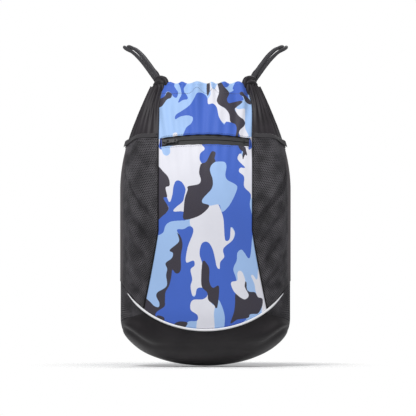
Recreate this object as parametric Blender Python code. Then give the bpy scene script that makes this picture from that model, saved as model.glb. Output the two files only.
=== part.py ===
"""A drawstring backpack for drum sticks: a filled cloth sack with a zip pocket, two mesh side pockets
and twin cord straps that run up over the wearer's shoulders and back down to the bottom corners.

Metres, +Z up. The printed front faces -Y and the wearer stands on the +Y side. The origin lies midway
between the two shoulders, at the underside of the cords where they cross them.
"""
import math

import bmesh
import bpy
from mathutils import Matrix, Vector

# The sack's outline, seen from the front. Heights are above the sack's lowest point.
BAG_HEIGHT = 0.500
HALF_WIDTH = 0.150
HEM_HALF_WIDTH = 0.0885
HEM_BELOW_SHOULDER = 0.062
BOTTOM_ROUND = 0.085          # height over which the bottom rounds into the sides
BOTTOM_POWER = 2.2
TAPER_LENGTH = 0.190          # the sides draw in over this length, up to the hem
TAPER_EASE = 0.72             # share of the taper that still curves

# The sack's fullness, front to back.
BACK_Y = -0.070               # outer face of the flat back
DEPTH = 0.105
HEM_DEPTH = 0.047
DEPTH_ROUND = 0.110           # height over which the bottom swells to its full depth
DEPTH_TAPER_LENGTH = 0.230
DEPTH_EASE = 0.44
SIDE_POWER = 0.77             # how squarely the front turns into the sides

# Cloth, cords and the clearance between pieces that touch.
CLOTH = 0.0012
MESH_CLOTH = 0.0008
LINING_CLOTH = 0.0006
GAP = 0.0004
PANEL_GAP = 0.0009            # between the edges of two panels sewn together
CORD_DIAMETER = 0.006

# The printed panel.
PANEL_HALF_WIDTH = 0.082
PANEL_HEM_HALF_WIDTH = 0.0715
PANEL_FLARE = 0.025           # how much wider each side is at the boot
PANEL_FLARE_HEIGHT = 0.240
PANEL_FLARE_FOOT = 0.104      # height at which the flare has its full width
PANEL_GATHER_LENGTH = 0.045

# The seam above the boot and its piping.
SEAM_HEIGHT = 0.0655
SEAM_RISE = 0.112
SEAM_FLATTEN = 0.115
SEAM_HALF_GAP = 0.0010
PIPING_DIAMETER = 0.004
PIPING_HALF_SPAN = 0.135
INSET_START = math.radians(42.0)
INSET_END_HEIGHT = 0.075

# The drawstring casing: the top edge turned over a cord and stitched down.
CASING_HEIGHT = 0.021
CASING_FOLD = 0.0047
BACK_CASING_END = 0.012       # how far short of the side seam the back casing stops
FRONT_CASING_END = math.radians(66.0)

# The zip, which follows an arc across the printed panel.
ZIP_DROP = 0.1005             # middle of the zip below the hem
ZIP_ARCH = 0.0055
ZIP_HALF_CHORD = 0.078
ZIP_WINDOW_HALF_HEIGHT = 0.009
ZIP_WINDOW_PINCH = 0.0015     # how much lower the window's half height is at its ends
ZIP_WINDOW_END = 0.0018       # cloth left between the window and the side seam
ZIP_RECESS = 0.0021
TAPE_HALF_WIDTH = 0.0125
TAPE_THICKNESS = 0.0007
TAPE_GAP = 0.0006
COIL_WIDTH = 0.0022
SLIDER_LENGTH = 0.012
SLIDER_WIDTH = 0.0095
SLIDER_PLATE = 0.0014
SLIDER_POST = 0.0006
BAIL_HALF_LENGTH = 0.0046
BAIL_HALF_WIDTH = 0.001
BAIL_HEIGHT = 0.0042
BAIL_BAR = 0.0012
POST_START = 0.0005           # the post's place along the slider, from its middle
POST_END_ROOM = 0.001
PIVOT_ABOVE_PLATE = 0.0019
PULL_LENGTH = 0.022
PULL_WIDTH = 0.0066
PULL_THICKNESS = 0.0013
PULL_RIM = 0.0013             # metal left beside the pull's holes
PULL_EYE_END = 0.0016         # how far the pull's eye reaches past the bail
PULL_STATIONS = (0.74, 0.88)  # ends of the pull's second hole and of its shoulder
PULL_WIDTHS = (1.0, 1.0, 1.0, 0.86, 0.80, 0.66)
ZIP_STOP_LENGTH = 0.0011
ZIP_STOP_WIDTH = 0.0024
ZIP_STOP_THICKNESS = 0.0009
ZIP_BOTTOM_STOP_LENGTH = 0.002
ZIP_BOTTOM_STOP_HALF_WIDTH = 0.003
ZIP_BOTTOM_STOP_INSET = 0.008 # keeps the pull, laid over the end, short of the mesh pocket
ZIP_TAPE_LAP = 0.0022         # how far the tapes run on past the window's ends
END_TAB_TRIM = 0.0024
END_TAB_REACH = 0.0017
END_TAB_THICKNESS = 0.0006
LINING_DROP = 0.238           # lowest edge of the zip pocket, below the hem
LINING_TOP_DROP = 0.078
LINING_SIDE_TRIM = 0.004
LINING_BELOW_ZIP = 0.017      # where the lining starts to stand off below the zip
LINING_MARKS = (0.019, 0.0135, 0.008)
LINING_TAPE_ROOM = 0.0014
LINING_SLIDER_ROOM = 0.0006
LINING_TOP_LAP = 0.002

# The mesh side pockets.
POCKET_DROP_INNER = 0.090     # top edge at the printed panel, below the hem
POCKET_DROP_OUTER = 0.105
POCKET_OUTER_ANGLE = math.radians(74.0)
POCKET_SLACK = 0.013
POCKET_SEAM_ROOM = 0.002      # between the printed panel and the pocket
BINDING_HEIGHT = 0.008
BINDING_CLOTH = 0.0006
BINDING_FOOT = 0.97           # share of the pocket's height where the binding starts
SLACK_START = 0.16            # share of the pocket's width that lies flat beside the printed panel

# The corner tabs, eyelets and knots.
TAB_X = 0.136
TAB_HEIGHT = 0.088
TAB_LENGTH = 0.026
TAB_WIDTH = 0.025
TAB_THICKNESS = 0.0024
EYELET_RADIUS = 0.0066
EYELET_WALL = 0.0007
EYELET_FLANGE = 0.0105
EYELET_PLATE = 0.0008
KNOT_RADIUS = 0.008
KNOT_HALF_LENGTH = 0.0052

SEAM_BINDING_DIAMETER = 0.0026

# Worked out from the sizes above.
HEM_Z = -HEM_BELOW_SHOULDER
BASE_Z = HEM_Z - BAG_HEIGHT
SKIN_BACK_Y = BACK_Y - CLOTH - GAP
STITCH_HEIGHT = BAG_HEIGHT - CASING_HEIGHT
ZIP_HEIGHT = BAG_HEIGHT - ZIP_DROP
CORD_RADIUS = CORD_DIAMETER / 2
TAPE_OUT = -ZIP_RECESS        # faces of the tapes and coils, outward from the sack's skin
TAPE_BACK = TAPE_OUT - TAPE_THICKNESS
COIL_OUT = TAPE_BACK - GAP
COIL_BACK = COIL_OUT - COIL_WIDTH
ZIP_END = ZIP_HALF_CHORD + ZIP_TAPE_LAP
SLIDER_REST = -(ZIP_HALF_CHORD - ZIP_STOP_LENGTH - GAP - SLIDER_LENGTH / 2)
PIVOT_OUT = TAPE_OUT + GAP + SLIDER_PLATE + PIVOT_ABOVE_PLATE

SHARE_STEPS = 18
SIDE_ANGLE_STORE = {}

# The two cords over one shoulder, hand-laid from the top corner to the eyelet, right-hand side.
# The front cord leaves the front casing and the back cord leaves the back one.
FRONT_CORD_ROUTE = (
    (0.0815, -0.0885, -0.0640), (0.0840, -0.0850, -0.0560), (0.0903, -0.0720, -0.0427),
    (0.0997, -0.0550, -0.0295), (0.1102, -0.0360, -0.0159), (0.1233, -0.0160, -0.0024),
    (0.1340, 0.0005, 0.0038), (0.1377, 0.0165, 0.0042), (0.1345, 0.0350, 0.0030),
    (0.1246, 0.0520, 0.0008), (0.1125, 0.0690, -0.0092), (0.1025, 0.0790, -0.0215),
    (0.0932, 0.0840, -0.0342), (0.0842, 0.0870, -0.0470), (0.0806, 0.0870, -0.0760),
    (0.0806, 0.0825, -0.1210), (0.0846, 0.0700, -0.2020), (0.0938, 0.0444, -0.2934),
    (0.1023, 0.0109, -0.3794), (0.1082, -0.0191, -0.4324), (0.1147, -0.0438, -0.4607),
    (0.1214, -0.0553, -0.4713), (0.1305, -0.0570, -0.4771), (0.1384, -0.0566, -0.4772),
)
BACK_CORD_ROUTE = (
    (0.0850, -0.0752, -0.0630), (0.0892, -0.0748, -0.0560), (0.0957, -0.0690, -0.0467),
    (0.1051, -0.0540, -0.0335), (0.1154, -0.0350, -0.0203), (0.1277, -0.0150, -0.0076),
    (0.1390, 0.0000, 0.0000), (0.1443, 0.0165, 0.0038), (0.1413, 0.0365, 0.0010),
    (0.1300, 0.0530, -0.0048), (0.1183, 0.0690, -0.0148), (0.1081, 0.0790, -0.0265),
    (0.0990, 0.0845, -0.0386), (0.0902, 0.0878, -0.0500), (0.0874, 0.0878, -0.0770),
    (0.0874, 0.0830, -0.1210), (0.0914, 0.0702, -0.2020), (0.1002, 0.0446, -0.2926),
    (0.1087, 0.0111, -0.3786), (0.1149, -0.0188, -0.4315), (0.1213, -0.0422, -0.4593),
    (0.1266, -0.0517, -0.4687), (0.1315, -0.0560, -0.4709), (0.1384, -0.0566, -0.4708),
)
CORD_STEP = 0.0150

COLOURS = {
    "print": ((0.12, 0.20, 0.62), 0.8),
    "black": ((0.035, 0.033, 0.038), 0.8),
    "mesh": ((0.030, 0.030, 0.033), 0.85),
    "white": ((0.85, 0.85, 0.87), 0.6),
    "blue": ((0.07, 0.12, 0.50), 0.75),
    "tape": ((0.020, 0.020, 0.023), 0.7),
    "cord": ((0.028, 0.027, 0.030), 0.75),
    "metal": ((0.45, 0.45, 0.47), 0.3),
    "dark_metal": ((0.05, 0.05, 0.055), 0.35),
}
METALS = ("metal", "dark_metal")


def clear_scene():
    for thing in list(bpy.data.objects):
        bpy.data.objects.remove(thing, do_unlink=True)


def paint(thing, colour):
    shade, roughness = COLOURS[colour]
    material = bpy.data.materials.new(thing.name)
    material.use_nodes = True
    surface = material.node_tree.nodes["Principled BSDF"]
    surface.inputs["Base Color"].default_value = (*shade, 1.0)
    surface.inputs["Roughness"].default_value = roughness
    surface.inputs["Metallic"].default_value = 1.0 if colour in METALS else 0.0
    thing.data.materials.append(material)


def place(name, mesh, colour):
    """Link a finished bmesh as a named, painted object."""
    data = bpy.data.meshes.new(name)
    mesh.to_mesh(data)
    mesh.free()
    data.shade_smooth()
    data.set_sharp_from_angle(angle=math.radians(40))
    thing = bpy.data.objects.new(name, data)
    bpy.context.collection.objects.link(thing)
    paint(thing, colour)
    return thing


# ---- the sack's shape

def ease(share, bend):
    """Rises from 0 to 1: curved up to bend, then straight."""
    whole = 2 * bend - bend * bend
    if share <= 0:
        return 0.0
    if share < bend:
        return share * share / whole
    return (bend * bend + 2 * bend * (share - bend)) / whole


def rounding(height, over, power):
    """A quarter superellipse: 0 at the bottom, 1 from the height over upwards."""
    if height >= over:
        return 1.0
    return max(0.0, 1 - (1 - height / over) ** power)


def half_width(height):
    share = (height - BAG_HEIGHT + TAPER_LENGTH) / TAPER_LENGTH
    side = HALF_WIDTH - (HALF_WIDTH - HEM_HALF_WIDTH) * ease(share, TAPER_EASE)
    return side * rounding(height, BOTTOM_ROUND, BOTTOM_POWER) ** 0.5


def depth(height):
    share = (height - BAG_HEIGHT + DEPTH_TAPER_LENGTH) / DEPTH_TAPER_LENGTH
    full = DEPTH - (DEPTH - HEM_DEPTH) * ease(share, DEPTH_EASE)
    return full * rounding(height, DEPTH_ROUND, BOTTOM_POWER) ** (1 / BOTTOM_POWER)


def skin(angle, height):
    """A point of the outer skin: angle 0 is the middle of the front, +-90 degrees the side seams."""
    bulge = max(0.0, math.cos(angle)) ** SIDE_POWER
    x = half_width(height) * math.sin(angle)
    return Vector((x, SKIN_BACK_Y - depth(height) * bulge, BASE_Z + height))


def outward(angle, height):
    """The skin's outward normal."""
    small = 0.002
    inner = max(-math.pi / 2, angle - small)
    outer = min(math.pi / 2, angle + small)
    low = max(0.0005, height - small)
    across = skin(outer, height) - skin(inner, height)
    upward = skin(angle, min(BAG_HEIGHT, height + small)) - skin(angle, low)
    return across.cross(upward).normalized()


def raised(angle, height, lift):
    return skin(angle, height) + outward(angle, height) * lift


def level_inward(angle, height):
    """The horizontal direction into the sack."""
    normal = outward(angle, height)
    return Vector((-normal.x, -normal.y, 0)).normalized()


def angle_at(x, height):
    return math.asin(max(-1.0, min(1.0, x / half_width(height))))


def even_angles(first, last, count, height=0.30):
    """Angles that split the skin's section into equal lengths."""
    fine = [first + (last - first) * k / 200 for k in range(201)]
    along = [0.0]
    for before, after in zip(fine, fine[1:]):
        along.append(along[-1] + (skin(after, height) - skin(before, height)).length)
    angles = []
    for k in range(count + 1):
        target = along[-1] * k / count
        spot = min(range(201), key=lambda n: abs(along[n] - target))
        angles.append(fine[spot])
    angles[0] = first
    angles[-1] = last
    return angles


def panel_edge(height):
    """Half width of the printed panel."""
    gather = max(0.0, height - BAG_HEIGHT + PANEL_GATHER_LENGTH) / PANEL_GATHER_LENGTH
    lower = max(0.0, PANEL_FLARE_HEIGHT - height) / (PANEL_FLARE_HEIGHT - PANEL_FLARE_FOOT)
    narrow = (PANEL_HALF_WIDTH - PANEL_HEM_HALF_WIDTH) * gather ** 1.5
    return PANEL_HALF_WIDTH - narrow + PANEL_FLARE * lower ** 1.1


def seam_height(angle):
    """Height of the curved seam above the boot."""
    turn = 1 - math.cos(angle)
    return SEAM_HEIGHT + SEAM_RISE * turn - SEAM_FLATTEN * max(0.0, turn - 0.5) ** 2


def above_seam(angle, clear):
    """The height at which the skin lies a given distance clear of the seam's line."""
    small = 0.01
    inner = max(0.0, angle - small)
    outer = min(math.pi / 2, angle + small)
    rise = seam_height(outer) - seam_height(inner)
    height = seam_height(angle)
    run = (skin(outer, height) - skin(inner, height)).length
    return height + clear * math.hypot(1, rise / run)


def inset_height(angle):
    """Lower edge of the mesh inset in the boot's corner."""
    share = (abs(angle) - INSET_START) / (math.pi / 2 - INSET_START)
    return seam_height(INSET_START) * (1 - share) + INSET_END_HEIGHT * share


# ---- sheets of cloth

def sheet(name, rows, colour, thickness, kept=None):
    """A closed sheet: rows of points on its outer face, thickened inward by a Solidify modifier."""
    mesh = bmesh.new()
    grid = [[mesh.verts.new(point) for point in row] for row in rows]
    for j in range(len(rows) - 1):
        for i in range(len(rows[j]) - 1):
            if kept is None or kept(i, j):
                mesh.faces.new((grid[j][i], grid[j][i + 1], grid[j + 1][i + 1], grid[j + 1][i]))
    bmesh.ops.delete(mesh, geom=[v for v in mesh.verts if not v.link_faces], context="VERTS")
    bmesh.ops.remove_doubles(mesh, verts=mesh.verts, dist=0.00001)
    thing = place(name, mesh, colour)
    solid = thing.modifiers.new("thickness", "SOLIDIFY")
    solid.thickness = thickness
    solid.offset = -1
    solid.use_even_offset = True
    return thing


def casing_rows(columns, row_count=4):
    """The hem's fold over the cord, for columns of (angle) at the top: up, over and down inside."""
    rows = []
    for k in range(1, 7):
        turn = math.pi * k / 6
        inset = CASING_FOLD * (1 - math.cos(turn))
        height = BAG_HEIGHT - CASING_FOLD * (1 - math.sin(turn))
        rows.append([(angle, height, inset) for angle in columns])
    drop = 2 * CASING_FOLD
    rows.append([(angle, BAG_HEIGHT - drop, drop) for angle in columns])
    stitched = 2 * CLOTH + GAP
    for k in range(1, row_count + 1):
        share = k / row_count
        height = BAG_HEIGHT - drop - (CASING_HEIGHT - drop) * share
        rows.append([(angle, height, drop + (stitched - drop) * share) for angle in columns])
    return rows


def fold_points(rows):
    """The fold hangs from the skin at the cord's height and meets the outer cloth at the stitching."""
    start = BAG_HEIGHT - CASING_FOLD
    drop = BAG_HEIGHT - 2 * CASING_FOLD
    points = []
    for row in rows:
        line = []
        for angle, height, inset in row:
            share = max(0.0, (drop - height) / (drop - STITCH_HEIGHT))
            point = skin(angle, start).lerp(skin(angle, height), share)
            point += level_inward(angle, start) * inset
            point.z = BASE_Z + height
            line.append(point)
        points.append(line)
    return points


def window_height(x, side):
    """Upper (+1) or lower (-1) edge of the zip's window."""
    share = x / ZIP_HALF_CHORD
    half = ZIP_WINDOW_HALF_HEIGHT - ZIP_WINDOW_PINCH * share * share
    return ZIP_HEIGHT - ZIP_ARCH * share * share + side * half


def make_front_panel():
    """One sheet from the piping to the hem, with the zip's window cut in it and the casing turned in."""
    window_end = 1 - ZIP_WINDOW_END / PANEL_HALF_WIDTH
    inner = [window_end * (k / 6 - 1) for k in range(13)]
    shares = [-1.0] + inner + [1.0]
    lower_rows = 9
    upper_rows = 5
    fold_start = BAG_HEIGHT - CASING_FOLD

    def settle(share, blend, low, high):
        """The point whose height is blended between two curves that depend on x."""
        x = share * PANEL_HALF_WIDTH
        height = 0.0
        for _ in range(12):
            height = low(x) * (1 - blend) + high(x) * blend
            x = share * (panel_edge(height) - PANEL_GAP / 2)
        return angle_at(x, height), height

    def seam_above(x):
        height = SEAM_HEIGHT
        for _ in range(20):
            height = seam_height(angle_at(x, height))
        return height + SEAM_HALF_GAP

    rows = []
    for k in range(lower_rows + 1):
        blend = k / lower_rows
        rows.append([settle(s, blend, seam_above, lambda x: window_height(x, -1)) for s in shares])
    for k in range(upper_rows + 1):
        blend = k / upper_rows
        rows.append([settle(s, blend, lambda x: window_height(x, 1), lambda x: fold_start) for s in shares])
    points = [[skin(angle, height) for angle, height in row] for row in rows]
    columns = [angle for angle, _ in rows[-1]]
    points += fold_points(casing_rows(columns))
    return sheet("front_panel", points, "print", CLOTH,
                 lambda i, j: not (j == lower_rows and 0 < i < len(shares) - 2))


def make_side_panel(name, side):
    """Plain cloth from the printed panel round to the side seam, its casing open at the corner."""
    columns = 9
    body_rows = 16
    fold_start = BAG_HEIGHT - CASING_FOLD
    notch_height = STITCH_HEIGHT
    rows = []
    for j in range(body_rows + 3):
        row = []
        for i in range(columns + 1):
            share = i / columns
            angle = 0.0
            height = notch_height
            for _ in range(12):
                first = angle_at(panel_edge(height) + PANEL_GAP / 2, height)
                angle = even_share(first, share, height)
                low = seam_height(angle) + SEAM_HALF_GAP
                if j <= body_rows:
                    height = low + (notch_height - low) * j / body_rows
                else:
                    height = notch_height + (fold_start - notch_height) * (j - body_rows) / 2
            row.append((side * angle, height))
        rows.append(row)
    points = [[skin(angle, height) for angle, height in row] for row in rows]
    points += fold_points(casing_rows([angle for angle, _ in rows[-1]]))
    if side < 0:
        points = [row[::-1] for row in points]
    open_from = casing_column(rows[-1])

    def kept(i, j):
        column = i if side > 0 else columns - 1 - i
        return j < body_rows or column < open_from

    return sheet(name, points, "black", CLOTH, kept)


def even_share(first, share, height):
    """The angle a given share of the way from first to the side seam, in equal steps of length."""
    steps = SHARE_STEPS
    at = share * steps
    low = int(at)
    angles = side_angles(first, height)
    if low >= steps:
        return angles[-1]
    return angles[low] + (angles[low + 1] - angles[low]) * (at - low)


def side_angles(first, height):
    """Evenly spaced angles to the side seam; heights near each other share one list's spacing."""
    key = round(math.degrees(first))
    if key not in SIDE_ANGLE_STORE:
        start = math.radians(key)
        plain = even_angles(start, math.pi / 2, SHARE_STEPS)
        SIDE_ANGLE_STORE[key] = [(angle - start) / (math.pi / 2 - start) for angle in plain]
    return [first + share * (math.pi / 2 - first) for share in SIDE_ANGLE_STORE[key]]


def casing_column(top_row):
    """The first column past the end of the front casing."""
    for i, (angle, _) in enumerate(top_row):
        if abs(angle) > FRONT_CASING_END:
            return i - 1
    return len(top_row) - 1


def make_back_panel():
    """The flat back, its outline the side seams, with its own casing along the middle of the hem."""
    heights = [BOTTOM_ROUND * (k / 7) ** 2 for k in range(8)]
    heights += [BOTTOM_ROUND + (STITCH_HEIGHT - BOTTOM_ROUND) * k / 9 for k in range(1, 10)]
    stitch_row = len(heights) - 1
    heights.append(BAG_HEIGHT - CASING_FOLD)
    rows = []
    for height in heights:
        wide = half_width(height)
        inner = (HEM_HALF_WIDTH - BACK_CASING_END) / HEM_HALF_WIDTH * wide
        rows.append([Vector((x, BACK_Y, BASE_Z + height)) for x in (wide, inner, -inner, -wide)])
    for row in casing_rows([0.0]):
        _, height, inset = row[0]
        wide = HEM_HALF_WIDTH
        inner = wide - BACK_CASING_END
        y = BACK_Y - inset
        rows.append([Vector((x, y, BASE_Z + height)) for x in (wide, inner, -inner, -wide)])
    return sheet("back_panel", rows, "black", CLOTH, lambda i, j: j < stitch_row or i == 1)


def boot_top(angle):
    if abs(angle) < INSET_START:
        return seam_height(angle) - SEAM_HALF_GAP
    return inset_height(angle) - GAP / 2


def make_boot():
    """The cup round the bottom, up to the piping and the two mesh insets."""
    middle = [INSET_START * (k / 5 - 1) for k in range(11)]
    outer = even_angles(INSET_START, math.pi / 2, 7)[1:]
    angles = [-angle for angle in outer[::-1]] + middle + outer
    row_count = 9
    rows = []
    for j in range(row_count + 1):
        share = (j / row_count) ** 1.7
        rows.append([skin(angle, boot_top(angle) * share) for angle in angles])
    return sheet("boot", rows, "black", CLOTH)


def make_inset(name, side):
    """The mesh inset between the boot's smooth cloth and the seam, in its upper outer corner."""
    first = INSET_START + math.radians(4)
    angles = even_angles(first, math.pi / 2, 8)
    rows = []
    for j in range(6):
        share = j / 5
        row = []
        for angle in angles:
            low = inset_height(angle) + GAP / 2
            high = seam_height(angle) - SEAM_HALF_GAP
            row.append(skin(side * angle, low + (high - low) * share))
        rows.append(row[::-1] if side < 0 else row)
    return sheet(name, rows, "mesh", CLOTH)


def pocket_top(share):
    """Height of the pocket's top edge: share 0 at the printed panel, 1 at the outer edge."""
    drop = POCKET_DROP_INNER + (POCKET_DROP_OUTER - POCKET_DROP_INNER) * share ** 1.6
    return BAG_HEIGHT - drop


def pocket_place(share, rise, top_trim):
    """Angle, height and lift of a point of the pocket: rise 0 at the seam, 1 at the top edge."""
    height = 0.3
    angle = 0.9
    for _ in range(12):
        first = angle_at(panel_edge(height) + POCKET_SEAM_ROOM, height)
        angle = first + (POCKET_OUTER_ANGLE - first) * share
        low = above_seam(angle, PIPING_DIAMETER / 2 + 2 * GAP)
        high = pocket_top(share) - top_trim
        height = low + (high - low) * rise
    across = max(0.0, (share - SLACK_START) / (1 - SLACK_START))
    slack = POCKET_SLACK * math.sin(math.pi * across) ** 1.3 * math.sin(math.pi * rise * 0.80) ** 0.8
    under_binding = (BINDING_CLOTH + 2 * GAP) * max(0.0, min(1.0, (rise - 0.80) / 0.10))
    return angle, height, MESH_CLOTH + 1.5 * GAP + slack + under_binding


def make_pocket(name, side):
    """A mesh pocket laid over the side panel, slack in the middle and open at the top."""
    columns = 11
    row_count = 12
    rows = []
    for j in range(row_count + 1):
        row = []
        for i in range(columns + 1):
            angle, height, lift = pocket_place(i / columns, j / row_count, BINDING_CLOTH + GAP)
            row.append(raised(side * angle, height, lift))
        rows.append(row[::-1] if side < 0 else row)
    return sheet(name, rows, "mesh", MESH_CLOTH)


def make_binding(name, side):
    """The elastic folded over the pocket's top edge."""
    columns = 11
    half_room = MESH_CLOTH / 2 + 2 * GAP + BINDING_CLOTH
    section = ((BINDING_FOOT, -1), (1.0, -1), (1.0, 1), (BINDING_FOOT, 1))
    rows = []
    for rise, face in section:
        row = []
        for i in range(columns + 1):
            angle, height, lift = pocket_place(i / columns, rise, 0.0)
            if rise < 1:
                height = pocket_top(i / columns) - BINDING_HEIGHT
            row.append(raised(side * angle, height, lift - MESH_CLOTH / 2 + face * half_room))
        rows.append(row if side < 0 else row[::-1])
    return sheet(name, rows, "black", BINDING_CLOTH)


# ---- tubes

def smooth_line(route, step):
    """Points evenly along a smooth curve through a route's own points."""
    points = [Vector(point) for point in route]
    ends = [points[0] * 2 - points[1]] + points + [points[-1] * 2 - points[-2]]
    fine = []
    for k in range(1, len(ends) - 2):
        for n in range(24):
            fine.append(between(ends[k - 1], ends[k], ends[k + 1], ends[k + 2], n / 24))
    fine.append(points[-1])
    total = sum((b - a).length for a, b in zip(fine, fine[1:]))
    count = max(2, round(total / step))
    line = [fine[0]]
    walked = 0.0
    for a, b in zip(fine, fine[1:]):
        walked += (b - a).length
        if walked >= total * len(line) / count and len(line) < count:
            line.append(b)
    line.append(fine[-1])
    return line


def between(before, a, b, after, share):
    """Catmull-Rom: the point a share of the way from a to b."""
    square = share * share
    cube = square * share
    return 0.5 * (2 * a + (b - before) * share + (2 * before - 5 * a + 4 * b - after) * square
                  + (3 * a - before - 3 * b + after) * cube)


def tube(name, line, diameter, colour, resolution=2):
    curve = bpy.data.curves.new(name, "CURVE")
    curve.dimensions = "3D"
    curve.bevel_depth = diameter / 2
    curve.bevel_resolution = resolution
    curve.use_fill_caps = True
    curve.render_resolution_u = 0
    spline = curve.splines.new("POLY")
    spline.points.add(len(line) - 1)
    for point, place_at in zip(spline.points, line):
        point.co = (*place_at, 1.0)
    thing = bpy.data.objects.new(name, curve)
    bpy.context.collection.objects.link(thing)
    paint(thing, colour)
    return thing


def make_piping():
    lift = PIPING_DIAMETER / 2 + GAP
    line = []
    count = 36
    for k in range(count + 1):
        x = PIPING_HALF_SPAN * (2 * k / count - 1)
        height = SEAM_HEIGHT
        for _ in range(20):
            height = seam_height(angle_at(x, height))
        line.append(raised(angle_at(x, height), height, lift))
    return tube("piping", line, PIPING_DIAMETER, "white")


def make_seam_binding():
    """The bound seam allowance, inside the sack along the seam between its sides and its back."""
    radius = SEAM_BINDING_DIAMETER / 2
    y = SKIN_BACK_Y - GAP - radius
    clear = CLOTH + 2 * GAP + radius
    heights = [0.30 * (k / 16) ** 2 for k in range(1, 17)] + [0.35, 0.40, 0.44, STITCH_HEIGHT - 0.004]
    right = []
    for height in heights:
        slope = (half_width(height + 0.001) - half_width(max(0, height - 0.001))) / 0.002
        if height < 0.001:
            slope = 8.0
        away = Vector((-1, 0, slope)).normalized()
        right.append(Vector((half_width(height), y, BASE_Z + height)) + away * clear)
    bottom = Vector((0, y, BASE_Z + clear))
    left = [Vector((-p.x, p.y, p.z)) for p in right[::-1]]
    return tube("seam_binding", left + [bottom] + right, SEAM_BINDING_DIAMETER, "black")


def front_casing_line():
    """The cord's line inside the front casing, from one end of it to the other."""
    height = BAG_HEIGHT - CASING_FOLD
    angles = even_angles(-FRONT_CASING_END, FRONT_CASING_END, 18, height)
    return [skin(a, height) + level_inward(a, height) * CASING_FOLD for a in angles]


def make_casing_cords():
    front = front_casing_line()
    tube("casing_cord_front", front, CORD_DIAMETER, "cord")
    end = HEM_HALF_WIDTH - BACK_CASING_END
    z = HEM_Z - CASING_FOLD
    y = BACK_Y - CASING_FOLD
    back = [Vector((end * (k / 4 - 1), y, z)) for k in range(9)]
    tube("casing_cord_back", back, CORD_DIAMETER, "cord")
    return front[-2:], back[-2:]


def make_strap_cords(front_end, back_end):
    """The twin cords of each shoulder, which start face to face with the cords in the casings."""
    for name, route, end in (("front", FRONT_CORD_ROUTE, front_end), ("back", BACK_CORD_ROUTE, back_end)):
        ahead = (end[1] - end[0]).normalized()
        points = [end[1] + ahead * GAP, end[1] + ahead * CORD_RADIUS] + [Vector(p) for p in route]
        for side_name, side in (("right", 1), ("left", -1)):
            points_here = [Vector((side * p.x, p.y, p.z)) for p in points]
            line = smooth_line(points_here, CORD_STEP)
            line.insert(1, points_here[1])
            line.insert(len(line) - 1, points_here[-2])
            tube("strap_cord_%s_%s" % (name, side_name), line, CORD_DIAMETER, "cord")


# ---- the zip

class ZipPath:
    """Places things along the zip: its middle section turned about the axis of the zip's arc."""

    def __init__(self):
        top = skin(0.0, ZIP_HEIGHT)
        end_height = ZIP_HEIGHT - ZIP_ARCH
        end = skin(angle_at(ZIP_HALF_CHORD, end_height), end_height)
        chord_middle = Vector((0, end.y, end.z))
        arch = top - chord_middle
        half = end.x
        self.radius = (half * half + arch.length_squared) / (2 * arch.length)
        self.centre = top - arch.normalized() * self.radius
        self.axis = Vector((1, 0, 0)).cross(arch.normalized()) * -1
        self.top = top
        self.out = outward(0.0, ZIP_HEIGHT)
        self.up = Vector((1, 0, 0)).cross(self.out) * -1

    def turn(self, along):
        return Matrix.Rotation(along / self.radius, 3, self.axis)

    def point(self, along, up, out):
        arm = self.top - self.centre + self.up * up + self.out * out
        return self.centre + self.turn(along) @ arm

    def frame(self, along):
        """A matrix whose local X runs along the zip, Y up the tape and Z out of it."""
        turn = self.turn(along)
        place_at = self.point(along, 0, 0)
        columns = (turn @ Vector((1, 0, 0)), turn @ self.up, turn @ self.out, place_at)
        matrix = Matrix.Identity(4)
        for column, vector in enumerate(columns):
            for row in range(3):
                matrix[row][column] = vector[row]
        return matrix


def swept(name, path, section, first, last, count, colour):
    """A closed section of (up, out) points swept along the zip."""
    mesh = bmesh.new()
    rings = []
    for k in range(count + 1):
        along = first + (last - first) * k / count
        rings.append([mesh.verts.new(path.point(along, up, out)) for up, out in section])
    size = len(section)
    for a, b in zip(rings, rings[1:]):
        for n in range(size):
            m = (n + 1) % size
            mesh.faces.new((a[n], a[m], b[m], b[n]))
    mesh.faces.new(rings[0][::-1])
    mesh.faces.new(rings[-1])
    bmesh.ops.recalc_face_normals(mesh, faces=mesh.faces)
    return place(name, mesh, colour)


def block(low_up, high_up, low_out, high_out):
    return ((low_up, low_out), (high_up, low_out), (high_up, high_out), (low_up, high_out))


def make_tapes(path):
    for name, side in (("upper", 1), ("lower", -1)):
        near = side * TAPE_GAP
        far = side * TAPE_HALF_WIDTH
        section = block(min(near, far), max(near, far), TAPE_BACK, TAPE_OUT)
        swept("zip_tape_" + name, path, section, -ZIP_END, ZIP_END, 24, "tape")
        middle = side * (TAPE_GAP + COIL_WIDTH / 2)
        half = COIL_WIDTH / 2
        centre = (COIL_OUT + COIL_BACK) / 2
        ring = []
        for k in range(6):
            turn = math.radians(60 * k + 30)
            ring.append((middle + half * math.sin(turn), centre + half * math.cos(turn)))
        swept("zip_coil_" + name, path, ring, -ZIP_HALF_CHORD, ZIP_HALF_CHORD, 24, "tape")


def make_stops(path):
    top = TAPE_OUT + GAP + ZIP_STOP_THICKNESS
    for name, side in (("upper", 1), ("lower", -1)):
        near = side * TAPE_GAP
        far = side * (TAPE_GAP + ZIP_STOP_WIDTH)
        section = block(min(near, far), max(near, far), TAPE_OUT + GAP, top)
        first = -ZIP_HALF_CHORD
        swept("zip_stop_top_" + name, path, section, first, first + ZIP_STOP_LENGTH, 1, "dark_metal")
    section = block(-ZIP_BOTTOM_STOP_HALF_WIDTH, ZIP_BOTTOM_STOP_HALF_WIDTH, TAPE_OUT + GAP, top)
    last = ZIP_HALF_CHORD - ZIP_BOTTOM_STOP_INSET
    swept("zip_stop_bottom", path, section, last - ZIP_BOTTOM_STOP_LENGTH, last, 1, "dark_metal")


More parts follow.
